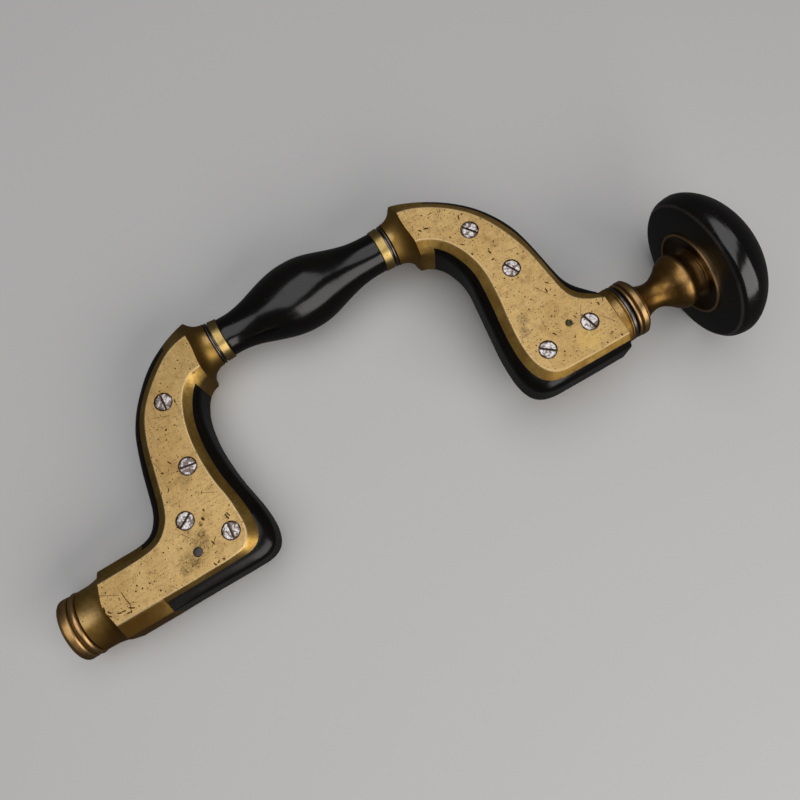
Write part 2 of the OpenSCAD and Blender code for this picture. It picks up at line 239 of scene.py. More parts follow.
def section(L, fs, zs, bulge, kind):
    """Half section from the flat cheek's rim to mid height: [(distance out, height)]."""
    sd = fs * L
    c = np.array([sd, -CHEEK])
    cl = np.linalg.norm(c)
    seam = np.array([sd, H - CHEEK])
    side = np.array([L, zs])
    out = []
    if kind == "brass":
        rho = 0.36
        out += bezier((-rho, H), (0, H), np.array([0, H]) + c / cl * rho, 4)
        for d_ in (rho + 0.22, rho + 0.6, cl * 0.5, cl * 0.75):
            out.append(np.array([0, H]) + c / cl * d_)
    out.append(seam if kind == "brass" else np.array([sd, H - CHEEK - 0.02]))
    start = out[-1]
    # straight filed chamfer and rounded wood, mixed by bulge
    flat_ctl = (start + side) / 2
    round_ctl = np.array([L - 0.06 * (L - sd), (H - CHEEK) - 0.35 * (H - CHEEK - zs)])
    ctl = flat_ctl * (1 - bulge) + round_ctl * bulge
    rho2 = 0.7
    u = side - ctl
    ul = np.linalg.norm(u) + 1e-9
    entry = side - u / ul * min(rho2, 0.4 * ul)
    out += bezier(start, ctl, entry, 6)[1:]
    out += bezier(entry, side, side + np.array([0, -rho2]), 3)[1:]
    out.append(np.array([L, (zs - rho2) * 0.5]))
    out.append(np.array([L, 0.0]))
    return out


CAPS = [0.014, 0.03, 0.06, 0.11, 0.19, 0.31, 0.5, 0.69, 0.81, 0.89, 0.94, 0.97, 0.986]


def arm_envelope(name, A, B, kind):
    """Closed solid between two matched rims. Rows of A and B are
    face x, face y, side x, side y, seam share, side height, bulge."""
    n = len(A)
    pts = np.vstack([A, B])
    rings = []
    for p in pts:
        F, S = p[:2], p[2:4]
        L = np.linalg.norm(S - F)
        u = (S - F) / L
        rings.append([(F[0] + u[0] * d, F[1] + u[1] * d, z) for d, z in section(L, p[4], p[5], p[6], kind)])
    rings = np.array(rings)                       # loop point, section point, xyz
    low = rings[:, ::-1, :][:, 1:, :].copy()
    low[:, :, 2] *= -1
    full = np.concatenate([rings, low], axis=1)   # top rim .. bottom rim
    K = full.shape[1]
    cols = np.array(CAPS)
    endAB = np.array([full[n - 1] * (1 - t) + full[n] * t for t in cols])        # from A end to B start
    endBA = np.array([full[2 * n - 1] * (1 - t) + full[0] * t for t in cols])    # from B end to A start
    loop = np.concatenate([full[:n], endAB, full[n:], endBA])
    N = len(loop)
    verts = loop.transpose(1, 0, 2).reshape(-1, 3)   # ring by ring
    V = [tuple(v) for v in verts]
    faces = []
    for k in range(K - 1):
        for i in range(N):
            j = (i + 1) % N
            faces.append((k * N + i, (k + 1) * N + i, (k + 1) * N + j, k * N + j))
    m = len(cols)
    for base, flip in ((0, False), ((K - 1) * N, True)):
        grid = []
        for i in range(n):
            a = base + i
            b = base + n + m + (n - 1 - i)
            if i == 0:
                mid = [base + 2 * n + 2 * m - 1 - q for q in range(m)]
            elif i == n - 1:
                mid = [base + n + q for q in range(m)]
            else:
                mid = []
                for t in cols:
                    mid.append(len(V))
                    V.append(tuple(np.array(V[a]) * (1 - t) + np.array(V[b]) * t))
            grid.append([a] + mid + [b])
        for i in range(n - 1):
            for q in range(m + 1):
                f = (grid[i][q], grid[i + 1][q], grid[i + 1][q + 1], grid[i][q + 1])
                faces.append(f[::-1] if flip else f)
    return new_object(name, V, faces, smooth=False)


def boolean(ob, other, op):
    m = ob.modifiers.new("b", "BOOLEAN")
    m.operation = op
    m.solver = "EXACT"
    m.object = other
    dg = bpy.context.evaluated_depsgraph_get()
    me = bpy.data.meshes.new_from_object(ob.evaluated_get(dg))
    ob.modifiers.clear()
    old = ob.data
    ob.data = me
    bpy.data.meshes.remove(old)
    bpy.data.objects.remove(other)
    return ob


def prism(poly, z0, z1):
    n = len(poly)
    V = [(x, y, z0) for x, y in poly] + [(x, y, z1) for x, y in poly]
    F = [tuple(range(n - 1, -1, -1)), tuple(range(n, 2 * n))]
    F += [(i, (i + 1) % n, n + (i + 1) % n, n + i) for i in range(n)]
    return new_object("cutter", V, F, smooth=False)


def turned_cutter(profile, y=0.0, seg=144):
    return lathe("cutter", profile, y=y, seg=seg)


def peg(x, y, z0, z1, r, seg=48):
    V, F = [], []
    for z in (z0, z1):
        for k in range(seg):
            a = 2 * math.pi * k / seg
            V.append((x + r * math.cos(a), y + r * math.sin(a), z))
    F = [tuple(range(seg - 1, -1, -1)), tuple(range(seg, 2 * seg))]
    F += [(k, (k + 1) % seg, seg + (k + 1) % seg, seg + k) for k in range(seg)]
    return V, F


def many(parts):
    V, F = [], []
    for v, f in parts:
        o = len(V)
        V += list(v)
        F += [tuple(i + o for i in q) for q in f]
    return new_object("cutter", V, F, smooth=False)


# ------------------------------------------------------------------ outlines
# face x, face y, side x, side y, seam share, side height, bulge
LOW_INNER = [
    [14, -9.6, 14, -15.7, .57, 9.6, 0], [30, -9.6, 30, -15.7, .50, 9.6, 0], [42, -9.6, 42, -15.7, .30, 9.6, 0],
    [49, -9.6, 49, -15.7, .27, 9.5, .05], [60, -9.6, 61, -15.7, .26, 8.4, .5], [72, -9.4, 74, -15.8, .25, 7.4, .8],
    [82, -9.1, 87, -15.8, .25, 6.6, 1], [87, -8.2, 94.5, -15.4, .33, 6.2, 1], [90.4, -5.9, 99.4, -12.6, .38, 6, 1],
    [92.3, -2.4, 101.6, -7, .42, 6, 1], [92.8, 2, 102, -1, .44, 6, 1], [92.6, 6.5, 101.4, 5, .46, 6, 1],
    [91.8, 14.5, 99.6, 14, .46, 6, 1], [90.1, 22.5, 97.9, 22, .46, 6, 1], [89.2, 31, 96.8, 30.5, .46, 6, 1],
    [89, 39.5, 96.2, 39, .48, 6, 1], [89.8, 48.5, 96.6, 47.6, .50, 6, 1], [92, 57.5, 98.1, 55.6, .54, 6, 1],
    [95.2, 64.4, 100.4, 61.2, .6, 6.5, .9], [98.8, 68.8, 102.8, 65, .62, 8, .6], [103, 71.4, 105.6, 67.3, .62, 9, .3],
    [107.5, 72.1, 108.4, 68.2, .62, 9.6, 0], [116.3, 72.3, 116.3, 68.4, .62, 9.6, 0]]
LOW_OUTER = [
    [116.3, 88, 116.3, 97.6, .45, 7.5, 0], [107.6, 87.9, 108.4, 97.2, .45, 7.5, 0], [103, 87.1, 103, 95.6, .45, 7.5, 0],
    [98.4, 85.4, 96.6, 92.9, .46, 7.5, .2], [93.6, 82.4, 90.2, 89.2, .46, 7, .7], [88, 77.8, 83.6, 83.8, .47, 6.5, 1],
    [83, 73, 77.6, 77.6, .48, 6, 1], [78, 67, 71.9, 70.2, .48, 6, 1], [74.6, 60.6, 67.4, 61.8, .48, 6, 1],
    [71.8, 52, 64.4, 52.2, .47, 6, 1], [69.7, 41.5, 62.1, 42.6, .46, 6, 1], [68, 32.6, 60.3, 33.2, .46, 6, 1],
    [66.3, 24.6, 58.6, 26, .46, 6, 1], [64, 18.6, 56.2, 21.2, .46, 6.3, 1], [61, 14.8, 53.4, 18.3, .46, 7, .8],
    [57.4, 12, 50, 16.8, .48, 8, .5], [54.8, 11.1, 48, 16.4, .50, 8.6, .3], [52, 10.5, 46, 16.1, .52, 9, .2], [45, 9.9, 40, 15.9, .56, 9.6, 0],
    [36, 9.7, 34, 15.8, .57, 9.6, 0], [26, 9.6, 26, 15.7, .57, 9.6, 0], [20, 9.6, 20, 15.7, .57, 9.6, 0], [14, 9.6, 14, 15.7, .57, 9.6, 0]]
UP_INNER = [
    [210.7, 73.4, 210.7, 68.4, .6, 9.6, 0], [219.6, 73.3, 218.8, 68.4, .6, 9.6, 0], [225.2, 70.8, 222.8, 66.9, .62, 9, .2],
    [229, 67.9, 225.8, 64.4, .62, 8, .6], [232.3, 64, 228.2, 61, .62, 7, .9], [235, 59, 230, 56.4, .6, 6.3, 1],
    [237.2, 52.4, 231.2, 51.4, .56, 6, 1], [238.3, 45, 231.5, 45.4, .53, 6, 1], [238, 37.5, 230.7, 38.4, .52, 6, 1],
    [237, 29, 229.6, 30, .51, 6, 1], [235.5, 20, 228.4, 20.5, .51, 6, 1], [234.4, 11.5, 227.3, 11.5, .50, 6, 1],
    [234.2, 4, 226.9, 2.5, .48, 6, 1], [234.9, -2, 227.4, -5.4, .46, 6, 1], [236.7, -6.8, 229.4, -11.4, .44, 6, 1],
    [239.4, -9.9, 233, -15, .44, 6.3, 1], [243, -11.3, 238.4, -16.5, .46, 7, .8], [250, -11.8, 248, -16.7, .48, 8, .4],
    [263, -12, 263, -16.8, .50, 8.6, .1], [276.9, -12, 276.9, -16.8, .52, 8.8, 0]]
UP_OUTER = [
    [276.9, 7.2, 276.9, 13.2, .5, 8.6, .3], [275.6, 7.8, 276.1, 14, .5, 8.2, .5], [274, 8.6, 275.2, 15, .5, 7.6, .8],
    [270.2, 10.3, 273.2, 17.4, .5, 6.8, 1], [266.8, 12.7, 271.2, 20, .48, 6.3, 1], [264.4, 15.7, 269.4, 23, .48, 6, 1],
    [263, 19.8, 268, 26.4, .50, 6, 1], [262, 27, 267, 31.4, .52, 6, 1], [261.1, 35, 266.1, 37.8, .54, 6, 1],
    [260, 42.5, 265.2, 44.4, .56, 6, 1], [258.3, 49.6, 264.1, 51.4, .56, 6, 1], [256.2, 55.8, 262.5, 58, .54, 6, 1],
    [253.3, 62.6, 259.6, 65, .53, 6, 1], [249.4, 69.3, 255.2, 72.4, .53, 6, 1], [244.8, 75, 249.8, 78.8, .53, 6.5, 1],
    [239.5, 79.8, 243.6, 84.6, .53, 7, .7], [233.5, 84.1, 236.8, 89.7, .52, 7.5, .3], [227, 87.6, 229, 94.2, .50, 7.5, 0],
    [219.6, 89.8, 219.4, 98, .46, 7.5, 0], [210.7, 90, 210.7, 98.4, .45, 7.5, 0]]
LOW_SCREWS = [[86.4, 65.6, 87], [83, 34.8, -9], [71.5, 14.4, 31], [86.6, 0.9, 86]]
UP_SCREWS = [[242.8, 65.2, -53], [249.2, 39.8, -62], [242.8, -0.4, -38], [265.2, 1, -75]]


def rim(P, n=9, sigma=1.6):
    return relax(hermite(P, n), sigma)


def low_room(g):
    return [[49 + g, -30], [130, -30], [106.9 - g, 49], [94 - g, 98], [30, 98], [30, 30], [49 + g, 30]]


def up_room(g):
    xe = 276.9 - g if g > 0 else 297
    return [[220 + g, 50], [200, -40], [xe, -40], [xe, -8.5 - g], [262 - g, -8.5 - g],
            [262 - g, 8.5 + g], [xe, 8.5 + g], [xe, 104], [236.6 + g, 104]]


def cove_profile(x_small, d):
    a = [k * 90 / 24 * DEG for k in range(25)]
    p = [(10.5 + 8.4 * (1 - math.cos(t)), x_small - d * 8.4 * math.sin(t)) for t in a]
    return p + [(45, x_small - d * 8.4), (45, x_small + d * 2), (10.5, x_small + d * 2)]


NECK = [(14.1, 12), (14.1, 17), (14.3, 20), (14.7, 22.4), (15.2, 24.2), (15.9, 25.5), (16.8, 26.4),
        (18, 27.2), (20, 27.9), (26, 28.2), (26, 12)]


def neck_profile():
    c = hermite([[p[0], p[1]] for p in NECK[1:10]], 4)
    return [(14.1, 11.5)] + [tuple(q) for q in c] + [(27, 28.25), (27, 11.5)]


def screw_pits(places, r=4.22, depth=1.15):
    out = []
    for s in places:
        out.append(peg(s[0], s[1], H - depth, H + 2, r, 64))
        out.append(peg(s[0], s[1], -H - 2, -H + depth, r, 64))
    return many(out)


lowA, lowB = rim(LOW_INNER), rim(LOW_OUTER)
upA, upB = rim(UP_INNER), rim(UP_OUTER)

# lower casting
low_cast = arm_envelope("casting_lower", lowA, lowB, "brass")
slope = (H - 0.12 - 9.6) / 5.98
corner = [(-9.72, H - 0.12)] + [(-9.72 - d, H - 0.12 - d * slope) for d in (0.25, 0.6)] + [(-15.7, 9.6)]
corner += [(y, -z) for y, z in corner[::-1]] + [(-5, 0.6 - H), (-5, H - 0.6)]
m = len(corner)
low_cast = boolean(low_cast, new_object("cutter", [(x, y, z) for x in (15, 48.98) for y, z in corner],
                   [tuple(range(m - 1, -1, -1)), tuple(range(m, 2 * m))] + [(i, (i + 1) % m, m + (i + 1) % m, m + i) for i in range(m)],
                   smooth=False), "UNION")
low_cast = boolean(low_cast, turned_cutter(cove_profile(116.3, 1), THROW), "DIFFERENCE")
low_cast = boolean(low_cast, turned_cutter(neck_profile()), "DIFFERENCE")
low_cast = boolean(low_cast, prism(low_room(0), CHEEK - H, H - CHEEK), "DIFFERENCE")
nose = lathe("cutter", [(0, MOUTH + 0.01), (11.2, MOUTH + 0.01), (11.5, MOUTH + 0.3), (11.5, 15), (0, 15)], closed_axis=True, seg=144)
low_cast = boolean(low_cast, nose, "UNION")
a0, b0, s0, s1 = 6.6, 6.6 - 40 * 0.04, MOUTH - 1, MOUTH + 40
sock = new_object("cutter", [(s0, -a0, -a0), (s0, a0, -a0), (s0, a0, a0), (s0, -a0, a0),
                             (s1, -b0, -b0), (s1, b0, -b0), (s1, b0, b0), (s1, -b0, b0)],
                  [(0, 1, 2, 3), (7, 6, 5, 4), (4, 5, 1, 0), (5, 6, 2, 1), (6, 7, 3, 2), (7, 4, 0, 3)], smooth=False)
low_cast = boolean(low_cast, sock, "DIFFERENCE")
catch = many([(lambda P: ([(x, y, -2.4) for x, y in P] + [(x, y, 2.4) for x, y in P],
                          [tuple(range(len(P) - 1, -1, -1)), tuple(range(len(P), 2 * len(P)))]
                          + [(i, (i + 1) % len(P), len(P) + (i + 1) % len(P), len(P) + i) for i in range(len(P))]))(
    [[9.6, 8], [9.6, 16.5], [13.6, 16.5], [13.6, 13.2], [27.5, 13.2], [27.5, 14.2], [54, 14.2],
     [64, 11], [75.4, 5], [75.4, -5], [66, -5], [57, 4.2], [51, 8], [26, 8], [26, 4.4], [18.6, 4.4], [18.6, 8]])])
low_cast = boolean(low_cast, catch, "DIFFERENCE")
low_cast = boolean(low_cast, screw_pits(LOW_SCREWS), "DIFFERENCE")
low_cast = boolean(low_cast, many([peg(70.4, 0, -20, 20, 2.12, 64)]), "DIFFERENCE")

# lower ebony
low_wood = arm_envelope("ebony_lower", lowA, lowB, "wood")
low_wood = boolean(low_wood, prism(low_room(0.06), -20, 20), "INTERSECT")

# upper casting
up_cast = arm_envelope("casting_upper", upA, upB, "brass")
up_cast = boolean(up_cast, turned_cutter(cove_profile(210.7, -1), THROW), "DIFFERENCE")
up_cast = boolean(up_cast, prism(up_room(0), CHEEK - H, H - CHEEK), "DIFFERENCE")
collar = lathe("cutter", [(0, 270), (8, 270), (8, 276.9)] + fillet(
    [(11.9, 276.9), (12.4, 277.25, 0), (13.2, 277.7, .3), (13.4, 278.3, .4), (13.4, 281.4, .4), (12.9, 281.8, .1), (12.9, 281.95, .1),
     (13.45, 282.2, .25), (13.45, 282.8, .25), (12.9, 283.0)], .2)
    + [(0, 283.0)], closed_axis=True, seg=168)
up_cast = boolean(up_cast, collar, "UNION")
up_cast = boolean(up_cast, screw_pits(UP_SCREWS), "DIFFERENCE")

# upper ebony
up_wood = arm_envelope("ebony_upper", upA, upB, "wood")
up_wood = boolean(up_wood, prism(up_room(0.06), -20, 20), "INTERSECT")


# ---- marks on the castings: wear on convex edges, darker down the chamfers towards the seams
def seg_dist(P, C):
    """Distance in plan from points P to the polyline C."""
    best = np.full(len(P), 1e9)
    for a, b in zip(C[:-1], C[1:]):
        ab = b - a
        L2 = float(ab @ ab) + 1e-12
        t = np.clip(((P - a) @ ab) / L2, 0, 1)
        d = np.linalg.norm(P - (a + t[:, None] * ab), axis=1)
        best = np.minimum(best, d)
    return best


def mark_cast(ob, A, B, kind):
    me = ob.data
    co = np.empty(len(me.vertices) * 3)
    me.vertices.foreach_get("co", co)
    co = co.reshape(-1, 3) / MM
    plan = co[:, :2]
    top = np.abs(co[:, 2])
    d = np.minimum(seg_dist(plan, A[:, :2]), seg_dist(plan, B[:, :2]))
    wear = np.exp(-(d / 0.42) ** 2) * np.clip((top - (H - 0.75)) / 0.5, 0, 1)
    # distance down the chamfer from the rim
    down = np.clip((H - top) / CHEEK, 0, 1)
    dirt_and_shade = np.clip((down - 0.35) / 0.65, 0, 1) * 0.6
    for key, val in (("wear", wear), ("dirt_and_shade", dirt_and_shade)):
        if key in me.attributes:
            me.attributes.remove(me.attributes[key])
        a = me.attributes.new(key, "FLOAT", "POINT")
        a.data.foreach_set("value", val.astype(np.float32))


def drop_flaps(bm):
    """Remove pairs of faces lying back to back, slivers that a cut leaves on a solid's edge."""
    bmesh.ops.triangulate(bm, faces=bm.faces[:])
    for _ in range(3):
        by_corners = {}
        for f in bm.faces:
            by_corners.setdefault(frozenset(f.verts), []).append(f)
        twins = [f for fs in by_corners.values() if len(fs) > 1 for f in fs]
        if not twins:
            break
        bmesh.ops.delete(bm, geom=twins, context="FACES")
        bmesh.ops.delete(bm, geom=[e for e in bm.edges if not e.link_faces], context="EDGES")
    bmesh.ops.delete(bm, geom=[v for v in bm.verts if not v.link_faces], context="VERTS")


for ob, A, B, k in ((low_cast, lowA, lowB, "b"), (up_cast, upA, upB, "b"), (low_wood, lowA, lowB, "w"), (up_wood, upA, upB, "w")):
    bm = bmesh.new()
    bm.from_mesh(ob.data)
    bmesh.ops.remove_doubles(bm, verts=bm.verts, dist=2e-6)
    bmesh.ops.dissolve_degenerate(bm, edges=bm.edges, dist=1e-6)
    drop_flaps(bm)
    bm.to_mesh(ob.data)
    bm.free()
    crease(ob, 28)
    mark_cast(ob, A, B, k)
    w = ob.modifiers.new("even", "WEIGHTED_NORMAL")
    w.keep_sharp = True
    w.weight = 100


# ------------------------------------------------------------------ screws
def screw_mesh():
    """One slotted head with a short shank, seated at z = H, built once."""
    prof = [(0, H - 12), (1.7, H - 12), (2, H - 11.4), (2, H - 3.2), (4.06, H - 0.95), (4.08, H - 0.45), (3.98, H - 0.2),
            (3.8, H - 0.08), (3.4, H - 0.03), (2.6, H - 0.01), (1.4, H), (0, H)]
    seg = 56
    V, F, idx = [], [], []
    for r, z in prof:
        if r < 1e-4:
            idx.append([len(V)])
            V.append((0, 0, z))
            continue
        row = []
        for k in range(seg):
            a = 2 * math.pi * k / seg
            row.append(len(V))
            V.append((r * math.cos(a), r * math.sin(a), z))
        idx.append(row)
    for A, B in zip(idx[:-1], idx[1:]):
        for k in range(seg):
            k2 = (k + 1) % seg
            if len(A) == 1:
                F.append((A[0], B[k2], B[k]))
            elif len(B) == 1:
                F.append((A[k], A[k2], B[0]))
            else:
                F.append((A[k], A[k2], B[k2], B[k]))
    ob = new_object("screw", V, F, smooth=False)
    w = 0.52
    slot = prism([(-8, -w), (8, -w), (8, w), (-8, w)], H - 0.95, H + 2)
    return boolean(ob, slot, "DIFFERENCE")


def put_screws(name, places, side):
    src = screw_mesh()
    me = src.data
    co = np.empty(len(me.vertices) * 3)
    me.vertices.foreach_get("co", co)
    co = co.reshape(-1, 3) / MM
    fs = [tuple(p.vertices) for p in me.polygons]
    V, F, rad, depth, seed = [], [], [], [], []
    for i, (x, y, ang) in enumerate(places):
        c, s = math.cos(ang * DEG), math.sin(ang * DEG)
        o = len(V)
        for p in co:
            q = [x + c * p[0] - s * p[1], y + s * p[0] + c * p[1], p[2]]
            if side:
                q[2] = -q[2]
            V.append(tuple(q))
            rad.append(math.hypot(p[0], p[1]) / 4.08)
            depth.append(max(0.0, (H - p[2]) / 0.9))
        for f in fs:
            g = tuple(v + o for v in f)
            F.append(g[::-1] if side else g)
    bpy.data.objects.remove(src)
    ob = new_object(name, V, F, angle=30, attrs={"rad": rad, "depth": np.clip(depth, 0, 1)})
    w = ob.modifiers.new("even", "WEIGHTED_NORMAL")
    w.keep_sharp = True
    return ob


low_sf = put_screws("screws_lower_front", LOW_SCREWS, 0)
low_sb = put_screws("screws_lower_back", LOW_SCREWS, 1)
up_sf = put_screws("screws_upper_front", UP_SCREWS, 0)
up_sb = put_screws("screws_upper_back", UP_SCREWS, 1)

# catch pin, filed nearly flush
pin_prof = [(0, -15.68), (1.7, -15.68), (1.88, -15.6), (1.98, -15.3), (1.98, 15.3), (1.88, 15.6), (1.7, 15.68), (0, 15.68)]
pin = lathe("catch_pivot_pin", [(r, x) for r, x in pin_prof], closed_axis=True, seg=64)
for v in pin.data.vertices:      # turned about X, then stood up along Z at the pivot
    x, y, z = v.co
    v.co = (70.4 * MM + z, y, x)
bm = bmesh.new(); bm.from_mesh(pin.data); bmesh.ops.recalc_face_normals(bm, faces=bm.faces); bm.to_mesh(pin.data); bm.free()

# ------------------------------------------------------------------ turned pieces
R = 14.4
ring = lathe("nose_ring", fillet([(11.55, 9.8), (11.55, 5.2), (11.85, 4.84), (R - 1.5, 4.82, .3), (R - 0.7, 5.08, .6), (R - 0.22, 5.6, .7), (R - 0.02, 6.5, 1.5),
                                  (R - 0.1, 8.9, .3), (R - 0.45, 9.5, .3), (R - 1.0, 9.8, .12), (R - 1.0, 10.25, .12)], .3)
             + [(R - 1.0 + 1.15 * math.sin(t * DEG), 11.78 - 1.5 * math.cos(t * DEG)) for t in range(8, 180, 10)]
             + [(13.35, 13.28), (12.9, 13.28), (12.9, 9.8), (11.55, 9.8)], seg=192)

grip_prof = hermite([[9.3, 122.65], [9.35, 128], [10.1, 133], [11.4, 138], [13.1, 143], [14.7, 148],
                     [16, 153], [16.8, 158], [17, 163], [16.7, 168], [15.7, 173], [14.2, 178],
                     [12.6, 183], [11.2, 188], [10.2, 193], [9.7, 198], [9.55, 203.85]], 8)
grip_prof[:, 0] = np.minimum(grip_prof[:, 0], 16.985)
grip = lathe("grip_ebony", [(4.06, 118.6), (8.3, 118.6), (8.4, 118.8), (8.4, 122.62), (9.2, 122.64)] + [tuple(q) for q in grip_prof[1:-1]]
             + [(9.5, 203.84), (8.4, 203.86), (8.4, 208.1), (8.3, 208.19), (4.06, 208.19)], y=THROW, seg=192)


def ferrule(name, x0, x1, ra, rb, groove):
    p = [(8.43, x0 + 0.02), (ra - 0.25, x0 + 0.02), (ra, x0 + 0.3, .25)]
    if groove:
        xg = x0 + (x1 - x0) * groove
        rg = ra + (rb - ra) * groove
        p += [(rg, xg - 0.16, .05), (rg - 0.14, xg, .05), (rg, xg + 0.16, .05)]
    p += [(rb, x1 - 0.3, .25), (rb - 0.25, x1 - 0.02), (8.43, x1 - 0.02)]
    return lathe(name, fillet(p, .15), y=THROW, seg=168)


fer_lo = ferrule("ferrule_lower", 118.3, 122.6, 10.2, 9.9, 0)
fer_up = ferrule("ferrule_upper", 203.9, 208.4, 10.0, 10.2, 0)


def spool(name, x0, x1, m):
    return lathe(name, fillet([(4.03, x0), (8, x0), (8, m - 0.42), (10.1, m - 0.42, .1), (10.34, m - 0.2, .15), (10.34, m + 0.2, .15),
                               (10.1, m + 0.42, .1), (8, m + 0.42), (8, x1), (4.03, x1)], .08), y=THROW, seg=168)


wash_lo = spool("grip_washer_lower_ring", 116.33, 118.1, 117.2)
wash_up = spool("grip_washer_upper_ring", 208.6, 210.67, 209.7)
head_ring = lathe("head_washer_ring", fillet([(3.65, 283.04), (12.7, 283.04), (13.2, 283.25, .3), (13.36, 283.95, .6), (13.2, 284.65, .3), (12.7, 284.88), (3.65, 284.88)], .1), seg=168)

neck_curve = hermite([[10.4, 292.5], [8.4, 294.4], [7.2, 297], [6.6, 300.2], [7, 303], [8.2, 305.6], [9.8, 308],
                      [11.6, 310.2], [12.8, 312.2], [13.35, 313.8], [13.3, 315.2], [12.8, 316.6], [12.4, 317.8]], 6)
head_neck = lathe("head_neck_turned",
                  fillet([(3.66, 285.62), (12.5, 285.62), (13.1, 285.82, .3), (13.4, 286.5, .6), (13.1, 287.18, .3), (12.65, 287.4, .12), (12.65, 287.7, .12),
                          (13.25, 288.0, .25), (13.5, 288.4, .3), (13.5, 290.35, .4), (13.15, 290.9, .15), (12.4, 291.08, .1), (12.3, 291.7, .25), (11.5, 292.2, .1)], .2)
                  + [tuple(q) for q in neck_curve]
                  + fillet([(12.1, 318.25, .3), (11.2, 318.55, .3), (10, 319, .3), (9.92, 320.4, 2), (10.2, 322.85, .05), (9.02, 322.85), (9.0, 337.9), (6.4, 337.9), (6.4, 329.6), (3.66, 329.6)], .1), seg=192)
head_plate = lathe("head_plate_disc", fillet([(9.04, 324.5), (9.04, 323.02), (12.9, 323.0, .3), (15.6, 322.72, 6), (17.8, 322.12, 3), (18.9, 321.52, .6), (19.35, 321.22, .3),
                                              (19.9, 321.2, .2), (20.16, 321.5, .2), (20.18, 324.5)], .15), seg=192)
knob_curve = hermite([[33.5, 323.55], [34.9, 325.2], [35.65, 328], [35.75, 330.6], [34.97, 333.1], [33.2, 336.1],
                      [30.3, 339.5], [26.2, 342.8], [20.8, 345.9], [14, 348.5], [6.8, 350.1], [0, 350.38]], 8)
knob_curve[:, 0] = np.minimum(knob_curve[:, 0], 35.77)
knob_under = fillet([(9.05, 339.4), (9.05, 324.68), (20.24, 324.68), (20.24, 322.35, .1), (24, 322.3, 3), (29, 322.5, 6), (32.3, 322.92, 3), (33.15, 323.2, .25), (33.4, 323.42, .1)], .2)
knob = lathe("head_knob_ebony", [(0, 339.4)] + knob_under + [tuple(q) for q in knob_curve], closed_axis=True, seg=224)


